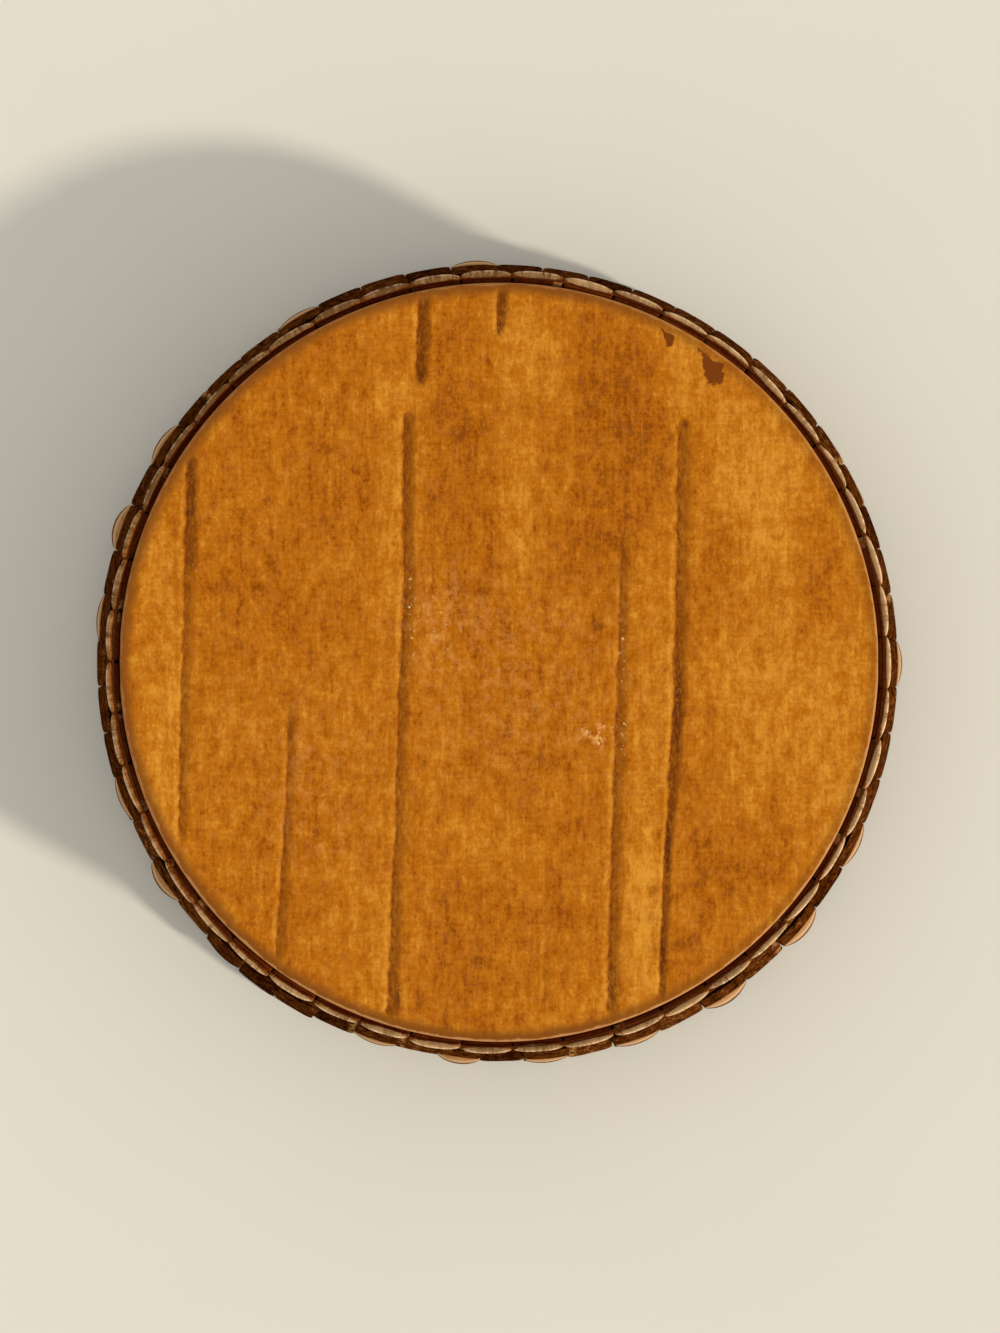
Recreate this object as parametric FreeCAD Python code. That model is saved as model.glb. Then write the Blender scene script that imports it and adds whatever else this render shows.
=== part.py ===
"""A low round box of birch bark: a plaited base with a spreading wall, and a plaited lid that slips over a collar.

Millimetres, +Z up. The origin is the centre of the underside. Each piece is written to parts/NAME.step.

Both side walls are rows of flat bark strips. Every upright strip is folded round a hoop at its top and its
foot, and its two ends meet inside. On the base, which has two hoops, a horizontal strip is woven through
the uprights between them: it passes over every second one, where it stands out in a loop, and under the
others. The base is lined with a tall band, whose upper part is the collar that the lid slides over.
"""

import FreeCAD
import Part
import math
import os

# Heights, measured up from the underside
box_height = 24.5
base_height = 13.0
collar_headroom = 2.2
foot_lift = 0.1
face_proud = 0.35
seat_gap = 0.15

# Outer face of the base's uprights at the rim, its spread down to the foot, and the lid's step inwards
base_rim_radius = 49.5
wall_spread = 3.5
lid_step = 0.1

# Upright strips of the base, and the gap between two of them at the rim
base_upright_count = 54
base_upright_thickness = 0.42
base_side_gap = 0.56

# Upright strips of the lid
lid_upright_count = 47
lid_upright_thickness = 0.35
lid_side_gap = 0.41

# Thin edges of a strip: how far in from each side the outer face starts to drop, and how far it drops
edge_taper = 1.3
edge_drop = 0.2

# Hoops inside the folds
base_hoop_thickness = 0.42
base_hoop_height = 2.6
lid_hoop_thickness = 0.35

# Woven strip of the base, and how far each of its loops stands out, going round from +X
weft_thickness = 0.38
weft_height = 4.2
loop_reach = 1.6
loop_reach_shares = [
    0.75, 0.28, 0.28, 0.25, 0.28, 0.25, 0.3, 0.5, 0.3,
    0.55, 0.3, 0.55, 0.9, 0.5, 0.3, 0.55, 0.9, 0.6,
    0.3, 0.28, 0.9, 0.65, 0.5, 0.65, 1.0, 0.65, 0.3,
]

# Lining bands and discs
collar_thickness = 0.8
lid_lining_thickness = 0.6
lid_lining_lift = 0.3
band_seam_gap = 0.4
bottom_disc_thickness = 1.2
bottom_lining_thickness = 0.8
lid_face_thickness = 0.9
lid_backing_thickness = 0.9

# Raised lip round the edge of the lid's face
lip_height = 0.15
lip_width = 0.7
lip_slope = 0.4

# Clearances
strip_clearance = 0.08
disc_gap = 0.12
collar_clearance = 0.45
overrun = 1.0

# Corner cut of a fold, as a share of the fold's whole thickness
fold_corner_share = 0.3

UP = FreeCAD.Vector(0, 0, 1)
CENTRE = FreeCAD.Vector(0, 0, 0)


def polar(radius, angle, height):
    """The point at this radius, angle in degrees and height."""
    turn = math.radians(angle)
    return FreeCAD.Vector(radius * math.cos(turn), radius * math.sin(turn), height)


def strip_width(radius, count, side_gap):
    """The width of flat strips that stand round a circle with this gap between them."""
    return 2 * radius * math.tan(math.pi / count) - side_gap


def reach_of_corner(radius, width):
    """The distance from the centre to the corner of a flat strip of this width."""
    return math.sqrt(radius**2 + (width / 2) ** 2)


class Plait:
    """One plaited wall: its levels, its slope and its layers, counted inwards from the outer face."""

    def __init__(self, foot, rim, foot_radius, rim_radius, width, thickness, hoop_thickness):
        self.foot = foot
        self.rim = rim
        self.foot_radius = foot_radius
        self.rim_radius = rim_radius
        self.width = width
        self.thickness = thickness
        # A flat strip meets a round hoop's inner side at the strip's two edges
        bow = reach_of_corner(rim_radius, width) - rim_radius
        self.hoop_outside = thickness + strip_clearance
        self.hoop_inside = self.hoop_outside + hoop_thickness
        self.inner_leg = self.hoop_inside + bow + strip_clearance
        self.depth = self.inner_leg + thickness
        self.fold = thickness + strip_clearance

    def outer_at(self, height):
        """The radius of the outer face at this height."""
        rise = (height - self.foot) / (self.rim - self.foot)
        return self.foot_radius + (self.rim_radius - self.foot_radius) * rise

    def inner_at(self, height):
        """The radius of the inner face at this height."""
        return self.outer_at(height) - self.depth

    def strip(self):
        """One upright strip, folded round its two hoops, standing at +X."""
        corner = self.depth * fold_corner_share
        low = self.foot + corner
        high = self.rim - corner
        hollow_low = self.foot + self.fold
        hollow_high = self.rim - self.fold
        outline = [
            (self.outer_at(low), low),
            (self.outer_at(high), high),
            (self.outer_at(self.rim) - corner, self.rim),
            (self.inner_at(self.rim) + corner, self.rim),
            (self.inner_at(high), high),
            (self.inner_at(self.foot), self.foot),
            (self.outer_at(self.foot) - corner, self.foot),
        ]
        hollow = [
            (self.outer_at(hollow_low) - self.thickness, hollow_low),
            (self.outer_at(hollow_high) - self.thickness, hollow_high),
            (self.outer_at(hollow_high) - self.inner_leg, hollow_high),
            (self.outer_at(hollow_low) - self.inner_leg, hollow_low),
        ]
        side = -self.width / 2
        solids = []
        for points in (outline, hollow):
            corners = [FreeCAD.Vector(x, side, z) for x, z in points + points[:1]]
            face = Part.Face(Part.makePolygon(corners))
            solids.append(face.extrude(FreeCAD.Vector(0, self.width, 0)))
        return solids[0].cut(self.thinned_edge()).cut(self.thinned_edge(-1)).cut(solids[1])

    def thinned_edge(self, side=1):
        """The wedge that a knife takes off one long edge of the strip, so that its outer face is domed."""
        wires = []
        for height in (self.foot, self.rim):
            face = self.outer_at(height)
            slope = edge_drop / edge_taper
            points = [
                (face, self.width / 2 - edge_taper),
                (face - edge_drop - slope * overrun, self.width / 2 + overrun),
                (face + overrun, self.width / 2 + overrun),
                (face + overrun, self.width / 2 - edge_taper),
            ]
            corners = [FreeCAD.Vector(x, side * y, height) for x, y in points + points[:1]]
            wires.append(Part.makePolygon(corners))
        return Part.makeLoft(wires, True, True)

    def uprights(self, count, first, step):
        """Every step-th upright of the wall, as separate solids."""
        strip = self.strip()
        made = []
        for index in range(first, count, step):
            copy = strip.copy()
            copy.rotate(CENTRE, UP, index * 360 / count)
            made.append(copy)
        return Part.makeCompound(made)

    def hoop(self, bottom, top):
        """A hoop that fills the fold between the two legs of the uprights."""
        solids = []
        for layer in (self.hoop_outside, self.hoop_inside):
            low = self.outer_at(bottom) - layer
            high = self.outer_at(top) - layer
            if math.isclose(low, high):
                solids.append(Part.makeCylinder(low, top - bottom, FreeCAD.Vector(0, 0, bottom), UP))
            else:
                solids.append(Part.makeCone(low, high, top - bottom, FreeCAD.Vector(0, 0, bottom), UP))
        return solids[0].cut(solids[1])


base_plait = Plait(
    foot_lift,
    base_height,
    base_rim_radius + wall_spread,
    base_rim_radius,
    strip_width(base_rim_radius, base_upright_count, base_side_gap),
    base_upright_thickness,
    base_hoop_thickness,
)
lid_radius = base_rim_radius - lid_step
lid_plait = Plait(
    base_height + seat_gap,
    box_height - face_proud,
    lid_radius,
    lid_radius,
    strip_width(lid_radius, lid_upright_count, lid_side_gap),
    lid_upright_thickness,
    lid_hoop_thickness,
)

# Levels of the base
foot_hoop_bottom = base_plait.foot + base_plait.fold
rim_hoop_top = base_plait.rim - base_plait.fold
rim_hoop_bottom = rim_hoop_top - base_hoop_height
foot_hoop_top = foot_hoop_bottom + base_hoop_height
weft_bottom = (foot_hoop_top + rim_hoop_bottom - weft_height) / 2
base_floor = bottom_disc_thickness + bottom_lining_thickness

# Levels of the lid
lid_face_bottom = box_height - lid_face_thickness
lid_backing_bottom = lid_face_bottom - lid_backing_thickness

# The lid's lining, and the collar that it slides over
lid_lining_radius = lid_plait.inner_at(lid_plait.foot) - strip_clearance
collar_radius = lid_lining_radius - lid_lining_thickness - collar_clearance
collar_top = lid_backing_bottom - collar_headroom


def split_band(outer, inner, bottom, top, seam_angle):
    """A band bent from one strip, whose two ends meet at a narrow upright seam."""
    tall = top - bottom
    start = FreeCAD.Vector(0, 0, bottom)
    band = Part.makeCylinder(outer, tall, start, UP).cut(Part.makeCylinder(inner, tall, start, UP))
    seam = Part.makeBox(
        outer - inner + 2 * overrun,
        band_seam_gap,
        tall + 2 * overrun,
        FreeCAD.Vector(inner - overrun, -band_seam_gap / 2, bottom - overrun),
    )
    seam.rotate(CENTRE, UP, seam_angle)
    return band.cut(seam)


def disc(radius, bottom, top):
    """A flat sheet, cut round."""
    return Part.makeCylinder(radius, top - bottom, FreeCAD.Vector(0, 0, bottom), UP)


def lipped_disc(radius, bottom, top):
    """The lid's face: a round sheet whose edge stands up in a low lip."""
    points = [
        (0, bottom),
        (radius, bottom),
        (radius, top),
        (radius - lip_width, top),
        (radius - lip_width - lip_slope, top - lip_height),
        (0, top - lip_height),
    ]
    corners = [FreeCAD.Vector(x, 0, z) for x, z in points + points[:1]]
    return Part.Face(Part.makePolygon(corners)).revolve(CENTRE, UP, 360)


def woven_wire(height, outside):
    """One side of the woven strip in plan: arcs over the uprights, and flat runs under them.

    The strip runs under an upright halfway between its two legs, and comes out through the gaps."""
    face = base_plait.outer_at(height)
    half = weft_thickness / 2 if outside else -weft_thickness / 2
    spread = math.degrees(half / face)
    pitch = 360 / base_upright_count
    over = reach_of_corner(face, base_plait.width) + strip_clearance
    between_legs = face - (base_upright_thickness + base_plait.inner_leg) / 2
    under = (between_legs + half) / math.cos(math.radians(pitch / 2 - spread))
    edges = []
    for index in range(base_upright_count // 2):
        share = loop_reach_shares[index % len(loop_reach_shares)]
        middle = index * 2 * pitch
        left = middle - pitch / 2 - spread
        right = middle + pitch / 2 + spread
        next_left = middle + 3 * pitch / 2 - spread
        top = over + loop_reach * share + weft_thickness / 2 + half
        edges.append(
            Part.Arc(polar(over, left, height), polar(top, middle, height), polar(over, right, height))
        )
        edges.append(Part.LineSegment(polar(over, right, height), polar(under, right, height)))
        edges.append(Part.LineSegment(polar(under, right, height), polar(under, next_left, height)))
        edges.append(Part.LineSegment(polar(under, next_left, height), polar(over, next_left, height)))
    return Part.Wire([edge.toShape() for edge in edges])


def woven_strip():
    """The horizontal strip of the base, leaning with the wall."""
    levels = (weft_bottom, weft_bottom + weft_height)
    outside = Part.makeLoft([woven_wire(level, True) for level in levels], True, True)
    inside = Part.makeLoft([woven_wire(level, False) for level in levels], True, True)
    return outside.cut(inside)


def base_pieces():
    """The base: two bottom discs, the collar band, the hoops, the woven strip and the uprights."""
    pieces = {}
    bottom_radius = base_plait.inner_at(bottom_disc_thickness) - disc_gap
    floor_radius = base_plait.inner_at(base_floor) - disc_gap
    pieces["base_bottom_disc"] = disc(bottom_radius, 0, bottom_disc_thickness)
    pieces["base_floor_disc"] = disc(floor_radius, bottom_disc_thickness, base_floor)
    pieces["base_collar_band"] = split_band(
        collar_radius, collar_radius - collar_thickness, base_floor, collar_top, 90
    )
    pieces["base_foot_hoop"] = base_plait.hoop(foot_hoop_bottom, foot_hoop_top)
    pieces["base_woven_strip"] = woven_strip()
    pieces["base_rim_hoop"] = base_plait.hoop(rim_hoop_bottom, rim_hoop_top)
    pieces["base_looped_uprights"] = base_plait.uprights(base_upright_count, 0, 2)
    pieces["base_plain_uprights"] = base_plait.uprights(base_upright_count, 1, 2)
    return pieces


def lid_pieces():
    """The lid: the face and backing discs, the lining band, the hoop and the uprights."""
    disc_radius = lid_plait.inner_at(lid_plait.rim) - disc_gap
    pieces = {}
    pieces["lid_face_disc"] = lipped_disc(disc_radius, lid_face_bottom, box_height)
    pieces["lid_backing_disc"] = disc(disc_radius, lid_backing_bottom, lid_face_bottom)
    pieces["lid_lining_band"] = split_band(
        lid_lining_radius,
        lid_lining_radius - lid_lining_thickness,
        lid_plait.foot + lid_lining_lift,
        lid_backing_bottom,
        270,
    )
    pieces["lid_hoop"] = lid_plait.hoop(
        lid_plait.foot + lid_plait.fold, lid_plait.rim - lid_plait.fold
    )
    pieces["lid_uprights"] = lid_plait.uprights(lid_upright_count, 0, 1)
    return pieces


def main():
    """Builds every piece and writes its file."""
    os.makedirs("parts", exist_ok=True)
    pieces = {**base_pieces(), **lid_pieces()}
    for name, shape in pieces.items():
        shape.exportStep(f"parts/{name}.step")
        box = shape.optimalBoundingBox()
        print(
            f"{name}: {len(shape.Solids)} solids, valid {shape.isValid()}, {shape.Volume:.1f} mm3, "
            f"z {box.ZMin:.2f} to {box.ZMax:.2f}, x {box.XMin:.2f} to {box.XMax:.2f}"
        )


main()
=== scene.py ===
"""A low round birch bark box: a plaited base with a spreading wall and a lid with a polished bark face.

The file is laid out as an add-on. Each operator makes one piece, or one group of like pieces, around the
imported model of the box, which is loaded first. Places are in metres in the model's own frame, +Z up.
"""

import bpy
import numpy as np
from bpy.props import FloatProperty, FloatVectorProperty, IntProperty, PointerProperty
from mathutils import Matrix, Vector


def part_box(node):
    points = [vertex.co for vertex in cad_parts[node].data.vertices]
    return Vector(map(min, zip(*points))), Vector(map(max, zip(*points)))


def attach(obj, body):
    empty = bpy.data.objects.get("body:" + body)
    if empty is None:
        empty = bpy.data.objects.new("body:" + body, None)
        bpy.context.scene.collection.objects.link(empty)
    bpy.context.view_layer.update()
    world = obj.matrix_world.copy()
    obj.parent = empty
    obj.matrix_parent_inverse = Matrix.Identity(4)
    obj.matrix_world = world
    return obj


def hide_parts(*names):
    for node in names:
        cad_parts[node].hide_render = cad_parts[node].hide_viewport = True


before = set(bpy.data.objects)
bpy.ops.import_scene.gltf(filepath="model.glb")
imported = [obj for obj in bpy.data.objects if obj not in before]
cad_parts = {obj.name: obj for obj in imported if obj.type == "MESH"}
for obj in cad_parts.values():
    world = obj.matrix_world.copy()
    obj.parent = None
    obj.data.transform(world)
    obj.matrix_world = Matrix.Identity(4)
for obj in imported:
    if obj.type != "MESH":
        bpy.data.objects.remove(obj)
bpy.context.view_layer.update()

bl_info = {
    "name": "Birch bark box",
    "version": (1, 0, 0),
    "blender": (4, 5, 0),
    "location": "3D View > Sidebar > Bark box",
    "description": "Makes a plaited birch bark box with a polished lid",
    "category": "Object",
}

MM = 0.001
BASE = "base"
LID = "lid"

# Places that come from the model
# Each pair of corners is the lowest and the highest one of a node's box
face_low, face_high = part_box("lid_face_disc")
lid_low, lid_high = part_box("lid_uprights")
base_low, base_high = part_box("base_looped_uprights")
weft_low, weft_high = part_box("base_woven_strip")
lining_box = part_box("lid_lining_band")
collar_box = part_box("base_collar_band")
bottom_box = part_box("base_bottom_disc")
floor_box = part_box("base_floor_disc")
backing_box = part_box("lid_backing_disc")
lid_radius = lid_high.x
foot_radius = base_high.x

# Half the floor's width, and how far it lies below the box, which keeps the two apart
FLOOR_HALF = 30.0
FLOOR_DROP = 0.05 * MM

# Where the low light comes from: its heading in plan, its angle above the floor and its width, in degrees
LIGHT_HEADING = (0.88, -0.47)
LIGHT_RISE = 29
LIGHT_WIDTH = 5

# Colours of the low light and of the even one
LIGHT_COLOUR = (1.0, 0.96, 0.88)
SKY_COLOUR = (0.93, 0.96, 1.0)

# Where the camera stands in plan, and what it points at on the lid's face
CAMERA_PLACE = (-7.1 * MM, -3.9 * MM)
CAMERA_AIM = (0.06 * MM, -0.57 * MM)

# How the two walls are put together. The base's rim stands out past the lid by LID_STEP, and each strip is
# narrower than its part of the ring by a gap. A sheet is a thickness of bark, and a depth is measured
# through both legs of a folded strip
LID_STEP = 0.1 * MM
BASE_STRIPS = 54
LID_STRIPS = 47
BASE_GAP = 0.10 * MM
LID_GAP = 0.12 * MM
BASE_SHEET = 0.42 * MM
LID_SHEET = 0.35 * MM
BASE_DEPTH = 1.49 * MM
LID_DEPTH = 1.31 * MM
WEFT_SHEET = 0.38 * MM
LOOP_REACH = 1.6 * MM
SEAM_GAP = 0.4 * MM
COLLAR_SHEET = 0.8 * MM
LINING_SHEET = 0.6 * MM
rim_radius = lid_radius + LID_STEP

# Rows and columns of the face's grid, points along a strip's corner and side, and places across a strip
FACE_ROWS = 171
FACE_COLUMNS = 141
CORNER_STEPS = 6
SIDE_STEPS = 4
LID_SECTION_STEPS = 13
BASE_SECTION_STEPS = 11
WEFT_SECTION_STEPS = 19

# Points along a band and along its section's corner and side, and the rings, edge points and spokes of a
# round sheet
BAND_STEPS = 181
BAND_CORNER_STEPS = 4
BAND_SIDE_STEPS = 5
SHEET_RINGS = 22
SHEET_EDGE_STEPS = 9
SHEET_SPOKES = 120

# Columns of the face's grid along a strong groove and along a faint one, and the least that lies between
# two columns, in millimetres
STRONG_GROOVE_STEP = 0.13
FAINT_GROOVE_STEP = 0.2
LEAST_COLUMN_STEP = 0.05

# Where each strip's grain starts, in millimetres past the strip before it, so that no two look alike
GRAIN_STEP = 17.3

# How unlike one another the strips are, at most: shares of a strip's width, of its cup and of its crest's
# width, its roll and its lean as slopes, and its place in the ring in radians
UNEVEN_WIDTH_SHARE = 0.02
UNEVEN_CUP_SHARE = 0.25
UNEVEN_CREST_SHARE = 0.3
UNEVEN_ROLL = 0.025
UNEVEN_LEAN = 0.012
UNEVEN_TURN = 0.0015

# The lid's face is cut this much smaller than the model's disc, and its level lies this far below the
# disc's top, which leaves room for its waves
FACE_TRIM = 0.08 * MM
FACE_SETTLE = 0.15 * MM

# Heights on the lid's face in millimetres: the deepest groove, how far the edge is rounded over, the shallow
# ring inside the lip, the lip at its lowest, and how much more it rises in places
GROOVE_DEPTH = 0.2
EDGE_ROUND = 0.14
RING_DEPTH = 0.03
LIP_RISE = 0.02
LIP_UNEVEN = 0.05

# The top edge of a band waves by the first of these about a line that lies below the model's by the second
BAND_TOP_WAVE = 0.10 * MM
BAND_TOP_DROP = 0.12 * MM

# The woven strip's line over one loop's part of the ring, as shares of it on each side of the loop's middle:
# how far it runs outside the upright, where it is back between the legs of the next one, how far the loop's
# bow reaches, and where its line starts to go in and has gone in
OVER_SHARE = 0.225
UNDER_SHARE = 0.275
BOW_SHARE = 0.27
CROSSING_SHARES = (0.232, 0.268)

# How much of the bow is in the line that gives the strip its sides and its length, and how much a loop's
# upper edge has
LINE_BOW_SHARE = 0.6
UPPER_BOW_SHARE = 0.06

# How far each loop of the woven strip stands out, as a share of LOOP_REACH, going round from +X
LOOP_REACH_SHARES = [
    0.60, 0.18, 0.16, 0.20, 0.15, 0.18, 0.16, 0.55, 0.18,
    0.50, 0.18, 0.66, 0.90, 0.50, 0.18, 0.48, 0.80, 0.40,
    0.18, 0.42, 0.68, 0.50, 0.60, 0.92, 0.90, 0.62, 0.24,
]

# Where the base's foot and the lid's top stand out or in: angle in degrees, half width of that stretch,
# and millimetres
FOOT_SWELLS = [
    (0, 70, 0.32), (35, 14, 0.15), (75, 18, -0.10), (110, 10, 0.24), (133, 10, -0.10), (205, 5, -0.35),
    (217, 5, -0.30), (234, 7, 0.25), (248, 5, -0.30), (260, 9, -0.62), (274, 7, -0.20), (309, 21, 0.50),
    (180, 400, 0.12),
]
LID_SWELLS = [
    (0, 45, 0.12), (93, 22, 0.06), (180, 20, 0.28), (252, 11, -0.2), (296, 13, 0.32), (180, 400, 0.10),
]

# The base's strips crowd towards one side: angle there, half width of that stretch, and the most that a
# strip has moved, all in degrees
CROWDED = (285, 35, 3.0)

# The lid's strips are narrow at the top on one side: angle there, half width, and the share they lose
NARROW = (203, 40, 0.45)

# Grooves of the lid's face, from their upper end down: at each place, given in millimetres from the centre,
# the groove's width and how strongly it is worn
GROOVES = [
    [(-38.7, 26.1, 1.9, 0.95), (-38.9, 13.0, 1.9, 0.9), (-39.1, 10.0, 1.7, 0.68), (-39.9, -22.2, 1.7, 0.72)],
    [(-9.4, 46.6, 2.0, 1.0), (-9.6, 41.0, 2.0, 1.0), (-9.9, 35.2, 1.6, 1.0)],
    [
        (-11.4, 31.8, 2.0, 0.84), (-11.4, 7.8, 1.9, 0.82), (-12.1, -4.8, 1.8, 0.76),
        (-12.5, -21.2, 1.7, 0.72), (-13.0, -32.0, 1.9, 0.8), (-13.4, -44.8, 2.0, 0.82),
    ],
    [(-26.0, -4.2, 1.2, 0.30), (-26.2, -12.0, 1.4, 0.6), (-26.5, -20.0, 1.5, 0.7), (-27.6, -37.6, 1.6, 0.78)],
    [(0.6, 48.2, 1.9, 1.0), (0.3, 44.0, 1.7, 0.98), (0.0, 41.3, 1.1, 0.9)],
    [
        (23.4, 30.4, 2.1, 0.76), (23.2, 14.0, 2.1, 0.76), (23.0, 1.5, 2.1, 0.82), (22.5, -8.0, 1.9, 0.95),
        (22.2, -14.0, 1.8, 0.92), (21.3, -23.7, 1.2, 0.9), (20.6, -42.4, 1.3, 0.86),
    ],
    [(15.9, 16.5, 1.4, 0.5), (15.7, 8.0, 1.6, 0.66), (15.6, 1.5, 1.8, 0.74), (15.1, -17.4, 1.9, 0.75),
     (14.3, -44.6, 2.0, 0.78)],
    [(6.1, -25.0, 0.8, 0.25), (5.7, -43.9, 0.8, 0.25)],
    [(17.3, 40.8, 0.8, 0.3), (17.8, 36.6, 0.8, 0.3)],
]

# Broad stains of the lid's face: centre and half size in millimetres, and how much lighter than the rest
STAINS = [
    ((-4.8, 25.0), (3.8, 18.0), -0.17),
    ((3.6, 39.0), (4.4, 5.5), 0.17),
    ((2.6, 20.0), (2.0, 14.0), 0.16),
    ((14.2, 28.0), (5.6, 15.0), -0.17),
    ((10.0, 13.0), (5.0, 5.0), -0.10),
    ((34.0, 22.0), (8.0, 13.0), 0.27),
    ((24.5, 37.0), (3.6, 7.0), 0.18),
    ((33.0, -7.0), (8.0, 11.0), 0.18),
    ((28.5, 15.0), (2.2, 4.5), -0.26),
    ((40.0, 12.0), (2.6, 8.0), -0.20),
    ((43.0, -8.0), (4.0, 14.0), 0.16),
    ((31.5, -25.5), (6.0, 5.0), -0.14),
    ((34.5, -32.5), (4.0, 3.5), 0.12),
    ((19.0, -3.0), (2.4, 16.0), 0.14),
    ((18.2, -31.0), (2.2, 12.0), 0.28),
    ((25.3, -24.0), (0.8, 4.0), -0.20),
    ((25.9, -31.0), (0.8, 4.0), -0.24),
    ((24.0, -36.5), (1.3, 2.5), -0.24),
    ((-43.5, 0.0), (2.8, 24.0), 0.18),
    ((-14.2, 20.0), (1.4, 14.0), 0.18),
    ((-11.5, 33.6), (4.0, 2.0), 0.20),
    ((-15.8, -37.0), (2.2, 9.0), 0.14),
    ((-27.0, 16.0), (9.0, 14.0), -0.05),
    ((0.5, -37.0), (11.0, 9.0), -0.06),
    ((1.0, -4.0), (9.0, 12.0), -0.08),
]

# Dark stretches in the grooves: centre, half size in millimetres, and strength
STREAKS = [
    ((22.5, -5.4), (0.45, 6.0), 0.9),
    ((21.2, -23.5), (0.35, 3.6), 1.0),
    ((20.6, -35.6), (0.35, 3.2), 0.9),
    ((-10.0, 35.8), (0.55, 0.9), 0.9),
    ((23.3, 30.0), (0.55, 0.55), 0.9),
    ((-39.2, 18.9), (0.65, 0.8), 0.8),
    ((-38.9, 23.0), (0.7, 3.6), 0.35),
    ((-12.8, -42.4), (0.5, 2.0), 0.8),
    ((14.4, -40.8), (0.5, 2.6), 0.7),
    ((0.0, 42.0), (0.4, 0.9), 0.7),
    ((-26.3, -8.6), (0.5, 1.6), 0.5),
    ((19.4, -28.6), (0.5, 0.9), 0.45),
    ((18.9, -32.3), (0.6, 0.8), 0.40),
    ((19.5, -36.2), (0.7, 0.5), 0.45),
    ((21.6, -35.8), (0.8, 0.6), 0.40),
]

# Painted glints, small highlights in the varnish of the lid's face: centre, half size in millimetres, and
# strength
PAINTED_GLINTS = [
    ((-11.3, 5.0), (0.5, 7.0), 1.0),
    ((-8.0, 6.0), (3.0, 3.0), 0.45),
    ((12.5, -9.2), (1.6, 1.2), 1.3),
    ((15.5, -5.0), (0.4, 11.0), 1.0),
]

# Flakes missing from the lid's face: centre and size in millimetres
CHIPS = [((27.1, 36.9, 0), 1.15), ((21.4, 40.8, 0), 0.55)]

# Places where the varnish is a little rougher, with a pale pinkish painted sheen that stands in for a
# reflection: centre, half size in millimetres, and strength
DULL_AND_SHEEN_PLACES = [
    ((-7.5, 4.0), (4.5, 8.0), 0.42),
    ((2.0, -2.0), (10.0, 12.0), 0.30),
    ((-24.0, -16.0), (8.0, 12.0), 0.20),
    ((12.6, -9.2), (2.1, 1.5), 2.2),
]


def tint(red, green, blue):
    """A colour written in 0 to 255 as seen on a screen, as the linear colour that a shader takes."""
    seen = np.array([red, green, blue]) / 255
    linear = np.where(seen <= 0.04045, seen / 12.92, ((seen + 0.055) / 1.055) ** 2.4)
    return tuple(float(part) for part in linear)


def colour_property(name, description, red, green, blue):
    """A colour that the user can change."""
    return FloatVectorProperty(
        name=name, description=description, subtype="COLOR", size=3, min=0, max=1,
        default=tint(red, green, blue),
    )


def length_property(name, description, millimetres):
    """A small length that the user can change."""
    return FloatProperty(
        name=name, description=description, subtype="DISTANCE", unit="LENGTH", min=0,
        default=millimetres * MM,
    )


class BarkBoxSizes(bpy.types.PropertyGroup):
    """Sizes of the finish, beside those that the model fixes."""

    groove_share: FloatProperty(name="Grooves", description="Depth of the grooves, as a share", default=1)
    face_wave: length_property("Face wave", "How far the lid's face rises and falls", 0.07)
    lid_cup: length_property("Lid strip cup", "How far a lid strip's edges lie behind its middle", 0.40)
    base_cup: length_property("Base strip cup", "How far a base strip's edges lie behind its middle", 0.07)
    strip_shift: length_property("Strip shift", "How far strips stand in or out of line", 0.09)
    crest_width: length_property("Crest width", "Width of the rubbed crest of the lid's strips", 0.82)
    band_wave: length_property("Band wave", "How far the inner bands are out of round", 0.05)
    seed: IntProperty(name="Seed", description="Starts the uneven places of the strips", default=7)


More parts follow.
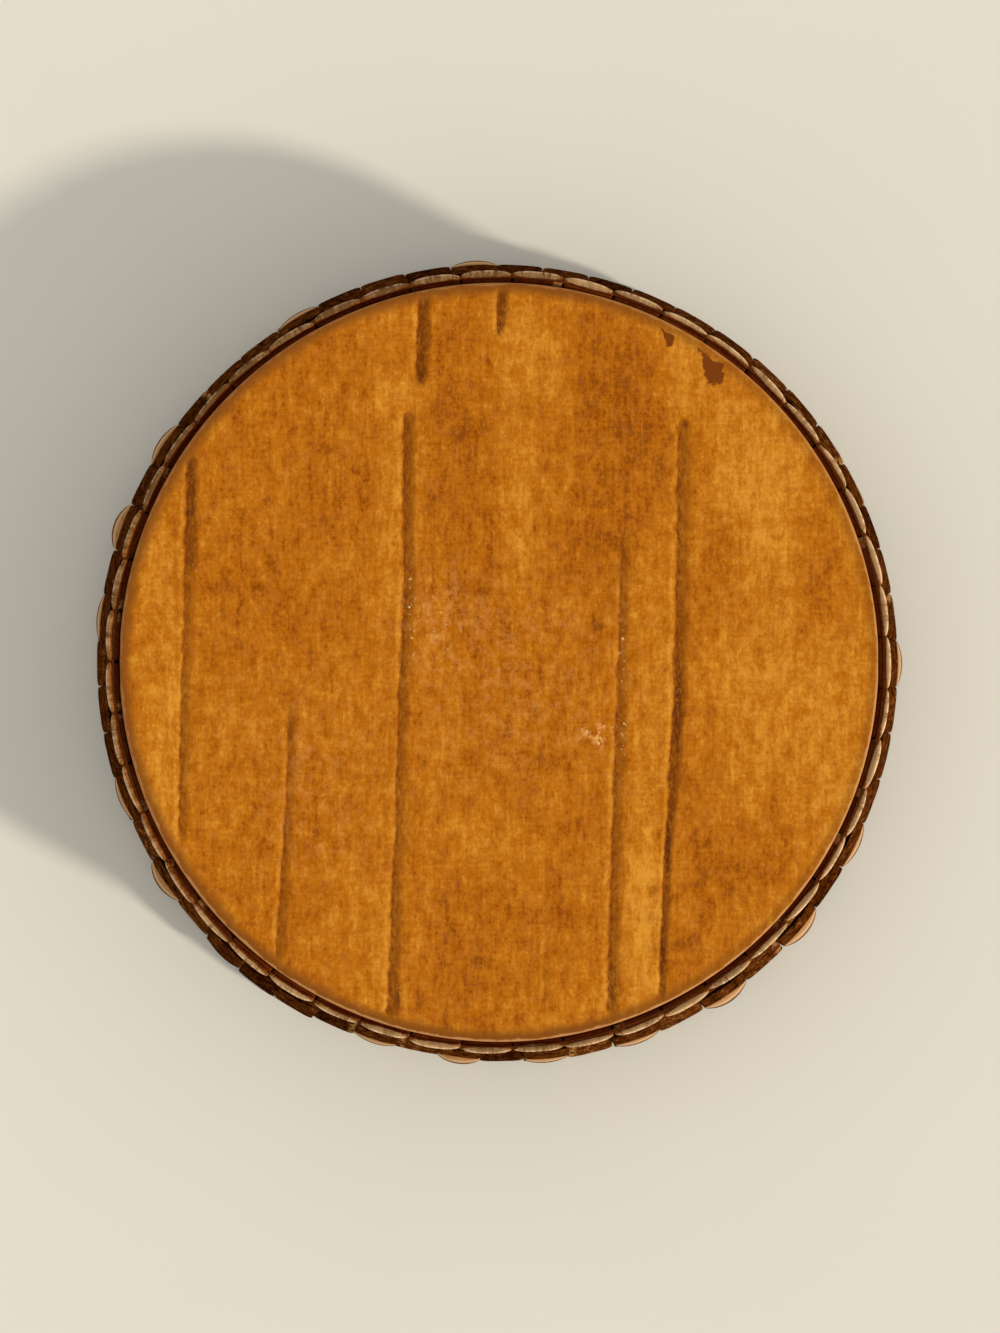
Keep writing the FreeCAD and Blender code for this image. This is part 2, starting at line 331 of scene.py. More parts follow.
class BarkBoxColours(bpy.types.PropertyGroup):
    """Colours of the bark, and of the stage."""

    face_dark: colour_property("Face, dark", "Darkest stain of the lid's face", 138, 68, 1)
    face_deep: colour_property("Face, deep", "Deep orange of the lid's face", 172, 93, 4)
    face_mid: colour_property("Face, middle", "Main colour of the lid's face", 186, 107, 13)
    face_light: colour_property("Face, light", "Lighter yellow of the lid's face", 216, 143, 42)
    groove: colour_property("Groove", "Old bark at the bottom of a groove", 116, 56, 2)
    crack: colour_property("Crack", "Dark line at a groove's steep side", 94, 40, 6)
    chip: colour_property("Chip", "Layer under a missing flake", 118, 56, 10)
    lip: colour_property("Lip", "Bark near the edge of the lid's face", 126, 70, 18)
    edge_line: colour_property("Edge line", "Rubbed edge of the lid's face", 196, 140, 86)
    # A painted sheen that stands in for a reflection in the varnish
    dull_and_painted_sheen: colour_property("Dull place", "Varnish that has gone dull", 226, 156, 80)
    # Painted glints, small highlights of the varnish
    glint: colour_property("Glint", "Bright specks of the varnish", 255, 216, 146)
    fold: colour_property("Fold", "Rubbed crest of the lid's strips", 184, 140, 92)
    # Also the painted shade of the crests on the side away from the light
    fold_dark: colour_property("Fold, dark", "Less rubbed parts of a crest", 100, 66, 34)
    fold_line: colour_property("Fold line", "Brightest line of a crest", 236, 198, 156)
    lid_strip: colour_property("Lid strip", "Face of the lid's strips", 146, 88, 38)
    # The two colours inside the folds are partly painted shade of the folds
    strip_inside: colour_property("Strip inside", "Inner leg of the strips", 118, 54, 14)
    strip_deep: colour_property("Strip, deep", "Darkest bark inside the folds", 74, 22, 2)
    wall: colour_property("Wall strip", "Face of the base's strips", 96, 48, 13)
    wall_dark: colour_property("Wall strip, dark", "Dark bark of the base's strips", 38, 11, 1)
    wall_light: colour_property("Wall strip, light", "Pale patches of the base's strips", 168, 118, 62)
    cut_edge: colour_property("Cut edge", "Cut edges of the strips", 192, 134, 74)
    weft: colour_property("Woven strip", "Rubbed face of the woven strip", 170, 122, 74)
    lining: colour_property("Lining", "Smooth inner bark of the bands", 206, 148, 88)
    lining_dark: colour_property("Lining, dark", "Darker bark of the bands", 166, 104, 52)
    sheet: colour_property("Sheet", "Bark of the bottom and of the lid's underside", 196, 142, 92)
    pore: colour_property("Pore", "Short dark dashes of the bark", 84, 44, 18)
    hoop: colour_property("Hoop", "Hoops inside the folds", 96, 48, 18)
    floor: colour_property("Floor", "The plain floor", 226, 218, 200)


class BarkBoxLight(bpy.types.PropertyGroup):
    """Light and camera of the stage."""

    key: FloatProperty(name="Key light", description="Strength of the low light", default=2.40, min=0)
    sky: FloatProperty(name="Sky", description="Strength of the even light", default=0.735, min=0)
    height: length_property("Camera height", "Height of the camera above the floor", 500)
    lens: FloatProperty(name="Lens", description="Focal length in millimetres", default=101.8, min=1)


# Surfaces worked out as arrays


def grid_quads(rows, columns, close_rows, close_columns):
    """Quads of a grid whose point (i, j) is number i * columns + j, closed round on itself where asked."""
    row = np.arange(rows if close_rows else rows - 1)
    column = np.arange(columns if close_columns else columns - 1)
    row, column = np.meshgrid(row, column, indexing="ij")
    next_row = (row + 1) % rows
    next_column = (column + 1) % columns
    corners = [
        row * columns + column,
        next_row * columns + column,
        next_row * columns + next_column,
        row * columns + next_column,
    ]
    return np.stack(corners, axis=-1).reshape(-1, 4)


def fan(ring, centre):
    """Triangles from the sides of a ring of points to one point, given by their numbers."""
    return np.stack([ring, np.roll(ring, -1), np.full(len(ring), centre)], axis=1)


def repeat_faces(faces, copies, stride):
    """The same faces for each of several like grids, whose points follow one another."""
    start = (np.arange(copies) * stride)[:, None, None]
    return (faces[None] + start).reshape(-1, faces.shape[1])


def enclosed(points, faces):
    """Six times the volume inside closed faces: positive where the faces point outwards."""
    first = points[faces[:, 0]]
    total = 0.0
    for corner in range(1, faces.shape[1] - 1):
        second = points[faces[:, corner]]
        third = points[faces[:, corner + 1]]
        total += float((first * np.cross(second, third)).sum())
    return total


def all_over(value, shape):
    """A value for every point of a grid, in one row."""
    return np.broadcast_to(value, shape).ravel()


def places_over(parts, shape):
    """Three lengths for every point of a grid, in millimetres."""
    return np.stack([all_over(part / MM, shape) for part in parts], axis=-1)


def smooth(value, low, high):
    """Rises from 0 at low to 1 at high along 3t^2 - 2t^3."""
    share = np.clip((value - low) / (high - low), 0, 1)
    return share * share * (3 - 2 * share)


def ripple(x, y, periods, turn):
    """A soft random-looking wave between about -1 and 1: the mean of sines along directions 2.4 radians
    apart."""
    total = 0.0
    for number, period in enumerate(periods):
        heading = turn + number * 2.4
        along = x * np.cos(heading) + y * np.sin(heading)
        total = total + np.sin(along * 2 * np.pi / period + turn * 3 + number * 1.7)
    return total / len(periods)


def rounded_loop(corners, cut, arc_steps, side_steps):
    """A closed outline with rounded corners.

    Each corner c becomes the curve (1-t)^2 a + 2t(1-t) c + t^2 b, where a and b lie on its two sides, one cut
    away from c, and evenly spaced points run along the straight side to the next curve."""
    corners = np.asarray(corners, float)
    before = np.roll(corners, 1, axis=0) - corners
    after = np.roll(corners, -1, axis=0) - corners
    start = corners + before / np.linalg.norm(before, axis=1, keepdims=True) * cut
    end = corners + after / np.linalg.norm(after, axis=1, keepdims=True) * cut
    t = np.linspace(0, 1, arc_steps)[None, :, None]
    arcs = (1 - t) ** 2 * start[:, None] + 2 * t * (1 - t) * corners[:, None] + t**2 * end[:, None]
    s = np.linspace(0, 1, side_steps + 2)[None, 1:-1, None]
    sides = end[:, None] * (1 - s) + np.roll(start, -1, axis=0)[:, None] * s
    return np.concatenate([arcs, sides], axis=1).reshape(-1, 2)


def loop_normals(loop):
    """Outward unit normals of a closed outline that runs anticlockwise, from the chord across each point."""
    chord = np.roll(loop, -1, axis=0) - np.roll(loop, 1, axis=0)
    normal = np.stack([chord[:, 1], -chord[:, 0]], axis=1)
    return normal / np.linalg.norm(normal, axis=1, keepdims=True)


def loop_lengths(loop):
    """How far each point of an outline lies from its first one, along the outline."""
    steps = np.linalg.norm(np.diff(loop, axis=0), axis=1)
    return np.concatenate([[0], np.cumsum(steps)])


def strip_section(steps):
    """Section of a thin strip: places across it from -1 to 1, crowded at its two long edges, and the half
    thickness (1 - |s|^8)^(1/2) there, first along its outer face and then back along its inner one."""
    across = np.sin(np.linspace(-np.pi / 2, np.pi / 2, steps))
    half = np.sqrt(1 - np.abs(across) ** 8)
    return np.concatenate([across, across[-2:0:-1]]), np.concatenate([half, -half[-2:0:-1]])


def bell(turn, place, spread):
    """1 where an angle in radians is at this place in degrees, falling along a bell curve on both sides."""
    away = (np.degrees(turn) - place + 180) % 360 - 180
    return np.exp(-((away / spread) ** 2))


def ring_swell(turn, swells):
    """How far a ring stands out at an angle in radians: the sum of these bell curves."""
    return sum(swell * MM * bell(turn, place, spread) for place, spread, swell in swells)


def crowded(turn):
    """Where a strip of the base stands, in radians, from its place in an even ring."""
    place, spread, most = CROWDED
    return turn - np.radians(most) * bell(turn, place, spread)


def folded_strips(turns, spacing, wall, rng, sizes, section_steps):
    """Strips folded round hoops, standing side by side in a ring at these angles, in radians.

    A strip's middle line is a closed loop with rounded corners in the upright plane at its angle, whose top
    slopes down inwards, and its section is carried along that loop. With s the place across it from -1 to 1,
    the strip's edges lie behind its middle by cup * |s|^2.6 and drop at the top by |s|^4, both less and less
    towards its inner leg. Its rubbed crest lies at the top, within a width of the outer face that narrows
    along 1 - |s|^3. The crest and the bark inside the fold are painted darker on the side away from the
    light:
    painted shade. Each strip differs a little from the next in width, place, turn and lean, and some have
    a pale sliver along one side of a leg."""
    half_sheet = wall["sheet"] / 2
    low, high = wall["low"] + half_sheet, wall["high"] - half_sheet
    outer_low = wall["foot_radius"] - half_sheet
    outer_high = wall["rim_radius"] - half_sheet
    inner = wall["depth"] - wall["sheet"]
    corners = [
        (outer_low - inner, low), (outer_low, low),
        (outer_high, high), (outer_high - inner - wall["inner_lean"], high - wall["inner_drop"]),
    ]
    loop = rounded_loop(corners, wall["cut"], CORNER_STEPS, SIDE_STEPS)
    normal = loop_normals(loop)[None, :, None, :]
    length = loop_lengths(loop)[None, :, None]
    across, half = strip_section(section_steps)
    count = len(turns)
    shape = (count, len(loop), len(across))

    def uneven(amount):
        return (amount * rng.uniform(-1, 1, count))[:, None, None]

    loop_radius = loop[None, :, None, 0]
    loop_height = loop[None, :, None, 1]
    rise = (loop_height - low) / (high - low)
    face = outer_low + (outer_high - outer_low) * rise
    behind = (face - loop_radius) / inner
    near_face = 1 - smooth(behind, 0.35, 1.0)
    near_top = smooth(rise, 0.85, 1.0)
    s = across[None, None, :]

    rim_width = wall["width"] * spacing[:, None, None] * (1 + uneven(UNEVEN_WIDTH_SHARE))
    width = (rim_width + wall["flare"] * (1 - rise)) * loop_radius / face
    shift = uneven(sizes.strip_shift)
    yaw = uneven(wall["yaw"])
    roll = uneven(UNEVEN_ROLL)
    lean = uneven(UNEVEN_LEAN)
    cup = wall["cup"] * (1 + uneven(UNEVEN_CUP_SHARE))
    lift = uneven(wall["uneven_top"])
    turn = turns[:, None, None] + uneven(UNEVEN_TURN)

    offset = half_sheet * half[None, None, :]
    sideways = s * width / 2 + lean * (rise - 0.5) * (high - low)
    radius = loop_radius + normal[..., 0] * offset - cup * near_face * np.abs(s) ** 2.6
    swell_share = 1 - rise**2 if wall["swells_at_foot"] else 0.4 + 0.6 * rise
    radius = radius + shift * rise + yaw * sideways * rise + ring_swell(turn, wall["swells"]) * swell_share
    height = loop_height + normal[..., 1] * offset - wall["edge_drop"] * near_top * near_face * s**4
    height = height + rise**2 * (lift + roll * sideways)
    x = radius * np.cos(turn) - sideways * np.sin(turn)
    y = radius * np.sin(turn) + sideways * np.cos(turn)
    points = np.stack([x, y, np.broadcast_to(height, shape)], axis=-1).reshape(-1, 3)
    faces = repeat_faces(
        grid_quads(len(loop), len(across), True, True), count, len(loop) * len(across)
    )

    place, spread, loss = NARROW
    crest_width = sizes.crest_width * (1 + uneven(UNEVEN_CREST_SHARE))
    crest_width = crest_width * (1 - loss * bell(turn, place, spread)) * (1 - 0.8 * np.abs(s) ** 3)
    inset = behind * inner + half_sheet - normal[..., 0] * offset
    at_top = smooth(rise, wall["crest_from"], wall["crest_from"] + 0.06)
    # Painted shade: crests and the bark inside the folds are darker on the upper left, away from the light,
    # and a little towards the bottom
    wear_and_lit_side = 1 - wall["shaded_side_darkening"] * np.maximum(bell(turn, 140, 75), 0.35 * bell(turn, 265, 45))
    crest = at_top * (1 - smooth(inset / crest_width, 0.75, 1.1))
    line = at_top * (1 - smooth(inset / MM, 0.10, 0.27)) * (1 - s**6)
    place, spread = wall["sliver_place"]
    chosen = rng.uniform(0, 1, count)[:, None, None] + 0.45 * bell(turn, place, spread)
    side = np.where(rng.uniform(0, 1, count) > 0.5, 1, -1)[:, None, None]
    leg = smooth(behind, 0.35, 0.6) if wall["sliver_inside"] else 1 - smooth(behind, 0.1, 0.4)
    sliver = smooth(s * side, wall["sliver_from"], wall["sliver_from"] + 0.12) * leg * (chosen > 0.75)
    number = np.arange(count)[:, None, None]
    values = {"place": places_over([s * width / 2, length, number * GRAIN_STEP * MM], shape)}
    parts = {
        "edge": np.abs(s), "behind": behind, "crest": crest, "line": line, "sliver": sliver,
        "tone": uneven(1.0), "wear_and_lit_side": wear_and_lit_side,
    }
    values.update({key: all_over(value, shape) for key, value in parts.items()})
    return points, faces, values


def groove_shape(x, y):
    """What the grooves do to the face at places in millimetres: how deep it lies, how much old bark shows,
    how dark the crack at their steep side is, and a painted highlight on the crest beside that.

    Across a groove, from its left side: a small crest, a steep drop, and a floor that rises softly back to
    the face. The old bark on its floor fades along 1 - t^p from the steep side, with a larger p where the
    groove is strongly worn. Its ends are worn round within a millimetre."""
    depth = np.zeros_like(x)
    worn = np.zeros_like(x)
    crack = np.zeros_like(x)
    painted_crest_highlight = np.zeros_like(x)
    for number, points in enumerate(GROOVES):
        line = np.array(points)[::-1]
        middle, width, strength = (np.interp(y, line[:, 1], line[:, part]) for part in (0, 2, 3))
        middle = middle + 0.10 * ripple(y, y * 0, (6.1, 3.3, 14.0), number)
        middle = middle + 0.06 * ripple(y, y * 0, (1.3, 0.8), number + 5)
        end = np.sqrt(smooth(np.minimum(y - line[0, 1], line[-1, 1] - y), -0.1, 1.0))
        uneven = ripple(y, y * 0, (9.0, 4.0, 1.9), number + 2)
        q = (x - middle) / (width * (0.92 + 0.16 * uneven) * (0.5 + 0.5 * end))
        drop = smooth(q, -0.56, -0.40) * (1 - smooth(q, -0.2, 0.6))
        crest = np.exp(-(((q + 0.70) / 0.14) ** 2))
        depth += end * strength * GROOVE_DEPTH * (drop - 0.14 * crest)
        frayed = q + 0.10 * ripple(y, x * 0.3, (0.9, 0.45, 0.27, 2.1), number + 8)
        fade = np.clip((frayed + 0.30) / 0.85, 0, 1) ** (1 + 8 * np.maximum(strength - 0.75, 0))
        worn = np.maximum(worn, end * strength * smooth(frayed, -0.56, -0.36) * (1 - fade))
        line_share = 0.5 + 0.9 * ripple(y, y * 0, (5.0, 2.3, 1.1, 0.7), number + 4)
        line_share = np.clip(line_share, 0, 1) * strength * end
        crack = np.maximum(crack, 0.6 * line_share * np.exp(-(((q + 0.36) / 0.10) ** 2)))
        # A painted highlight on the small crest beside the steep side
        painted_crest_highlight = np.maximum(painted_crest_highlight, end * strength * np.exp(-(((q + 0.72) / 0.16) ** 2)))
    return depth, worn, crack, painted_crest_highlight


def face_columns(radius):
    """Places of the face's columns across the grooves: R cos(t) at even steps of t, which crowds them at
    both ends, and extra ones close together along each groove."""
    places = [radius / MM * np.cos(np.linspace(0, np.pi, FACE_COLUMNS))]
    for points in GROOVES:
        across, _, width, strength = np.array(points).T
        margin = 0.9 * width.max()
        fine = STRONG_GROOVE_STEP if strength.max() > 0.5 else FAINT_GROOVE_STEP
        places.append(np.arange(across.min() - margin, across.max() + margin, fine))
    columns = np.unique(np.concatenate(places))
    keep = np.concatenate([[True], np.diff(columns) > LEAST_COLUMN_STEP])
    keep[-1] = True
    columns = columns[keep]
    inside = np.abs(columns) < radius / MM - 1e-4
    return columns[inside] * MM


def face_surface(sizes):
    """The lid's face, as one closed sheet.

    Its top is a height over a grid that fills the circle: column x, and row y = v (R^2 - x^2)^(1/2) with
    v = sin(t). The height is the face's level, plus a lip near the edge, less a shallow ring inside the lip,
    plus waves, less the grooves. The edge is rounded over and runs down to a flat underside."""
    radius = face_high.x - FACE_TRIM
    level = face_high.z - FACE_SETTLE
    columns = face_columns(radius)
    rows = np.sin(np.linspace(-np.pi / 2, np.pi / 2, FACE_ROWS))
    x, v = np.meshgrid(columns, rows, indexing="ij")
    y = v * np.sqrt(np.maximum(radius**2 - x**2, 0))
    distance = np.hypot(x, y)
    angle = np.arctan2(y, x)
    inward = (radius - distance) / MM
    lip_wave = 0.5 + 0.5 * ripple(np.cos(angle) * 40, np.sin(angle) * 40, (23.0, 9.0), 1)
    lip = (1 - smooth(inward, 0.3, 1.5)) * (LIP_RISE + LIP_UNEVEN * lip_wave)
    over = EDGE_ROUND * (1 - smooth(inward, 0.0, 0.32)) ** 2
    low_ring = RING_DEPTH * np.exp(-(((inward - 1.1) / 0.4) ** 2))
    inner = smooth(inward, 1.0, 4.0)
    wave = ripple(x / MM, y / MM / 1.8, (31.0, 17.0, 9.0, 6.3), 4) * inner
    depth, worn, crack, painted_crest_highlight = groove_shape(x / MM, y / MM)
    edge_fade = smooth(inward, 0.3, 1.6)
    raised = lip - over - low_ring - depth * edge_fade * sizes.groove_share
    z = level + raised * MM + wave * sizes.face_wave
    top = np.stack([x, y, z], axis=-1)
    # The grooves' crests are lightened by a painted highlight, and the broad stains are added
    tone = painted_crest_highlight * edge_fade * 0.30
    wobble = 0.8 * ripple(x / MM / 3, y / MM, (11.0, 6.0, 3.4), 6)
    for (cx, cy), (wide, tall), strength in STAINS:
        across = (x / MM - cx + wobble) / wide
        tone += strength * np.exp(-(across**4) - ((y / MM - cy) / tall) ** 4)
    marks = {}
    for name, spots in (("speck", PAINTED_GLINTS), ("dull_and_painted_sheen", DULL_AND_SHEEN_PLACES), ("streak", STREAKS)):
        marks[name] = np.zeros_like(x)
        for (cx, cy), (wide, tall), strength in spots:
            near = np.exp(-(((x / MM - cx) / wide) ** 2) - ((y / MM - cy) / tall) ** 4)
            marks[name] = np.maximum(marks[name], strength * near)
    crack = np.maximum(crack, marks["streak"])

    # The rim of the grid, once round anticlockwise
    count, width = x.shape
    index = np.arange(count * width).reshape(count, width)
    rim = np.concatenate([index[:, 0], index[-1, 1:], index[-2::-1, -1], index[0, -2:0:-1]])
    rim_points = top.reshape(-1, 3)[rim]
    drops = np.array([0.12, 0.3, 0.55, 0.75])
    low = face_low.z
    sides = []
    for drop in drops:
        ring = rim_points.copy()
        ring[:, 2] = rim_points[:, 2] * (1 - drop) + low * drop
        ring[:, :2] *= 1 + 0.0012 * np.sin(drop * np.pi)
        sides.append(ring)
    under = rim_points.copy()
    under[:, 2] = low
    sides.append(under)
    centre = np.array([[0, 0, low]])
    points = np.concatenate([top.reshape(-1, 3), *sides, centre])
    start = count * width
    rings = [rim] + [start + number * len(rim) + np.arange(len(rim)) for number in range(len(sides))]
    walls = []
    for above, below in zip(rings[:-1], rings[1:]):
        walls.append(np.stack([above, below, np.roll(below, -1), np.roll(above, -1)], axis=1))
    underside = fan(rings[-1], len(points) - 1)[:, ::-1]
    quads = np.concatenate([grid_quads(count, width, False, False), *walls])
    parts = {
        "groove": worn * edge_fade, "crack": crack * edge_fade, "stains_and_crest_highlight": tone,
        "speck": marks["speck"], "dull_and_painted_sheen": marks["dull_and_painted_sheen"], "inward": np.clip(inward, 0, 4),
    }
    values = {}
    for key, value in parts.items():
        under = np.full(len(points) - start, -1.0 if key == "inward" else 0.0)
        values[key] = np.concatenate([value.ravel(), under])
    return points, [quads, underside], values


def bent_band(band, seam_angle, sizes, number):
    """A band bent from one sheet until its ends meet at an upright seam.

    Its section, a rounded upright rectangle, is carried along an arc from one side of the seam to the other,
    whose radius rises and falls by a soft wave. Its top edge waves too, fading downwards along the sixth
    power of the height. The two ends are closed."""
    middle = band["radius"] - band["sheet"] / 2
    opening = SEAM_GAP / 2 / middle
    turn = np.linspace(opening, 2 * np.pi - opening, BAND_STEPS)
    near_end = np.exp(-turn / 0.06) + np.exp(-(2 * np.pi - turn) / 0.06)
    tall = band["high"] - band["low"]
    half = band["sheet"] / 2
    corners = [(-half, 0), (half, 0), (half, tall), (-half, tall)]
    box = rounded_loop(corners, half * 0.7, BAND_CORNER_STEPS, BAND_SIDE_STEPS)
    wave = sizes.band_wave * ripple(np.cos(turn) * 30, np.sin(turn) * 30, (37.0, 23.0, 61.0), number)
    radius = middle + wave * (1 - np.clip(near_end, 0, 1)) * 0.8
    top_wave = BAND_TOP_WAVE * ripple(turn, turn * 0, (0.9, 0.37, 2.1), number)
    share = (box[:, 1] / tall)[None, :]
    r = radius[:, None] + box[None, :, 0]
    z = band["low"] + box[None, :, 1] + top_wave[:, None] * share**6 - BAND_TOP_DROP * share**6
    angle = turn[:, None] + np.radians(seam_angle)
    points = np.stack([r * np.cos(angle), r * np.sin(angle), np.broadcast_to(z, r.shape)], axis=-1)
    points = points.reshape(-1, 3)
    quads = grid_quads(len(turn), len(box), False, True)
    ends = np.array([points[: len(box)].mean(axis=0), points[-len(box):].mean(axis=0)])
    first = np.arange(len(box))
    last = first + (len(turn) - 1) * len(box)
    count = len(points)
    caps = np.concatenate([fan(first, count), fan(last, count + 1)[:, ::-1]])
    place = places_over([turn[:, None] * middle, z, box[None, :, 0]], r.shape)
    edge = all_over(smooth(share, 0.93, 1.0), r.shape)
    values = {
        "place": np.concatenate([place, np.zeros((2, 3))]),
        "edge": np.concatenate([edge, np.ones(2)]),
    }
    return np.concatenate([points, ends]), [quads, caps], values


def turned_sheet(radius, low, high, wave, number, wave_below):
    """A round sheet: a section from its centre out along the top, round the edge and back along the
    underside, turned about the axis, with soft waves in its top or its underside. The rings lie near
    R u^0.8 for even steps of u, and the edge is half an oval."""
    half = (high - low) / 2
    rings = radius * np.linspace(0, 1, SHEET_RINGS + 2)[1:-1] ** 0.8 - half * 0.5
    bend = np.linspace(np.pi / 2, -np.pi / 2, SHEET_EDGE_STEPS)
    edge_r = radius - half * 0.8 + half * 0.8 * np.cos(bend)
    edge_z = (low + high) / 2 + half * np.sin(bend)
    section_r = np.concatenate([rings, edge_r, rings[::-1]])
    section_z = np.concatenate([np.full(len(rings), high), edge_z, np.full(len(rings), low)])
    spokes = np.linspace(0, 2 * np.pi, SHEET_SPOKES + 1)[:-1]
    r, turn = np.meshgrid(section_r, spokes, indexing="ij")
    x, y = r * np.cos(turn), r * np.sin(turn)
    is_top = np.broadcast_to((section_z > (low + high) / 2)[:, None], r.shape)
    swell = ripple(x / MM, y / MM, (33.0, 19.0, 11.0), number) * smooth(radius - r, 0.5 * MM, 3 * MM)
    moved = np.where(is_top, -wave * (0.5 + 0.5 * swell), wave_below * (0.5 + 0.5 * swell))
    flat = smooth(radius - r, 0.3 * MM, 2 * MM)
    z = np.broadcast_to(section_z[:, None], r.shape) + moved * flat
    ring = np.arange(len(spokes))
    last = ring + (len(section_r) - 1) * len(spokes)
    points = np.stack([x, y, z], axis=-1).reshape(-1, 3)
    count = len(points)
    poles = np.array([[0, 0, z[0].mean()], [0, 0, z[-1].mean()]])
    quads = grid_quads(len(section_r), len(spokes), False, True)
    caps = np.concatenate([fan(ring, count), fan(last, count + 1)[:, ::-1]])
    edge = (1 - smooth(radius - r, 0.0, 1.0 * MM)).ravel()
    return np.concatenate([points, poles]), [quads, caps], {"edge": np.concatenate([edge, [0, 0]])}


def wall_radius(height):
    """Outer face of the base's strips at this height."""
    rise = (height - base_low.z) / (base_high.z - base_low.z)
    return foot_radius + (rim_radius - foot_radius) * rise


def weave_line(middle_height):
    """The woven strip's line in plan, closed: angle, radius without its loops, how far a loop takes it out,
    and whether it runs outside the uprights.

    Over an upright a loop stands out by reach * (1 - (a / b)^2)^0.75, where b is BOW_SHARE and a is the
    place within one loop's part of the circle. It crosses to the space between the legs of the next upright
    in the gap."""
    pieces = [
        np.linspace(-0.5, -UNDER_SHARE, 5)[:-1],
        np.linspace(-UNDER_SHARE, -OVER_SHARE, 7)[:-1],
        np.sin(np.linspace(-1, 1, 19)[:-1] * np.pi / 2) * OVER_SHARE,
        np.linspace(OVER_SHARE, UNDER_SHARE, 7)[:-1],
        np.linspace(UNDER_SHARE, 0.5, 5)[:-1],
    ]
    a = np.concatenate(pieces)
    face = wall_radius(middle_height)
    over = face + 0.05 * MM + WEFT_SHEET / 2
    under = face - BASE_DEPTH / 2
    reach = LOOP_REACH * np.array(LOOP_REACH_SHARES)[:, None]
    out = 1 - smooth(np.abs(a), *CROSSING_SHARES)
    bow = reach * np.clip(1 - (a / BOW_SHARE) ** 2, 0, 1) ** 0.75 * out
    loops = len(LOOP_REACH_SHARES)
    turn = crowded((np.arange(loops)[:, None] + a) * 2 * np.pi / loops)
    radius = under + (over - under) * out + 0.75 * ring_swell(turn, FOOT_SWELLS)
    return turn.ravel(), radius.ravel(), bow.ravel(), np.broadcast_to(out, radius.shape).ravel()


def woven_surface():
    """The horizontal strip: an upright section with rounded edges, carried along the woven line and leaning
    with the wall. Its loops flare: their lower edge stands out fully, their upper edge hardly at all.
    The larger loops are rubbed where they stand out past the foot's line."""
    middle_height = (weft_low.z + weft_high.z) / 2
    turn, radius, bow, out = weave_line(middle_height)
    plain = radius + LINE_BOW_SHARE * bow
    line = np.stack([plain * np.cos(turn), plain * np.sin(turn)], axis=1)
    normal = loop_normals(line)
    across, half = strip_section(WEFT_SECTION_STEPS)
    tall = (weft_high.z - weft_low.z) / 2
    lean = (rim_radius - foot_radius) / (base_high.z - base_low.z)
    up = across * tall
    side = half * WEFT_SHEET / 2
    flat = normal[:, None, :] * side[None, :, None]
    flare = 1 - (1 - UPPER_BOW_SHARE) * (across + 1) / 2
    heading = np.stack([np.cos(turn), np.sin(turn)], axis=1)[:, None, :]
    reach = radius[:, None] + bow[:, None] * flare[None, :] + (lean * up)[None, :]
    plan = reach[:, :, None] * heading + flat
    height = np.broadcast_to(middle_height + up[None, :], plan.shape[:2])
    points = np.concatenate([plan, height[..., None]], axis=-1).reshape(-1, 3)
    faces = grid_quads(len(turn), len(across), True, True)
    shape = plan.shape[:2]
    place = places_over([loop_lengths(line)[:, None], up[None, :], np.zeros(shape)], shape)
    past = (np.linalg.norm(plan, axis=-1) - foot_radius - ring_swell(turn, FOOT_SWELLS)[:, None]) / MM
    large = np.repeat(np.array(LOOP_REACH_SHARES) > 0.4, len(turn) // len(LOOP_REACH_SHARES))
    past = np.where(large[:, None], past, -2)
    low_line = np.exp(-(((across + 0.50) / 0.13) ** 2))
    low_dark = 1 - smooth(across, -0.82, -0.66)
    parts = {"out": out[:, None], "past": past, "low_line": low_line[None, :], "low_dark": low_dark[None, :]}
    values = {"place": place}
    values.update({key: all_over(value, shape) for key, value in parts.items()})
    return points, faces, values


# Making Blender pieces out of arrays


def put_piece(context, name, points, faces, values, material, body, nodes):
    """Makes the mesh, with its values as attributes and its faces outwards, and joins it to the model."""
    groups = faces if isinstance(faces, list) else [faces]
    if sum(enclosed(points, group) for group in groups) < 0:
        groups = [group[:, ::-1] for group in groups]
    mesh = bpy.data.meshes.new(name)
    mesh.from_pydata(points.tolist(), [], [face for group in groups for face in group.tolist()])
    for key, value in values.items():
        kind = "FLOAT_VECTOR" if value.ndim == 2 else "FLOAT"
        attribute = mesh.attributes.new(key, kind, "POINT")
        field = "vector" if value.ndim == 2 else "value"
        attribute.data.foreach_set(field, np.ascontiguousarray(value, np.float32).ravel())
    mesh.polygons.foreach_set("use_smooth", np.ones(len(mesh.polygons), bool))
    if mesh.validate():
        raise RuntimeError(f"{name} has faces that aren't sound")
    mesh.materials.append(material)
    piece = bpy.data.objects.new(name, mesh)
    context.scene.collection.objects.link(piece)
    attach(piece, body)
    if nodes:
        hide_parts(*nodes)
    return piece


def put_sheet(context, name, corners, waves, number, material, body, node):
    """Makes a round sheet in the place of a node, with waves this high in its top and in its underside."""
    low, high = corners
    points, faces, values = turned_sheet(high.x, low.z, high.z, waves[0], number, waves[1])
    put_piece(context, name, points, faces, values, material, body, [node])


def put_band(context, name, corners, sheet, seam_angle, number, material, body, node):
    """Makes a band in the place of a node, bent from a sheet this thick."""
    low, high = corners
    band = {"radius": high.x, "sheet": sheet, "low": low.z, "high": high.z}
    points, faces, values = bent_band(band, seam_angle, context.scene.bark_box_sizes, number)
    put_piece(context, name, points, faces, values, material, body, [node])


def dress_node(node, material):
    """Gives a node of the model its material."""
    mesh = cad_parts[node].data
    mesh.materials.clear()
    mesh.materials.append(material)


# Shader nodes


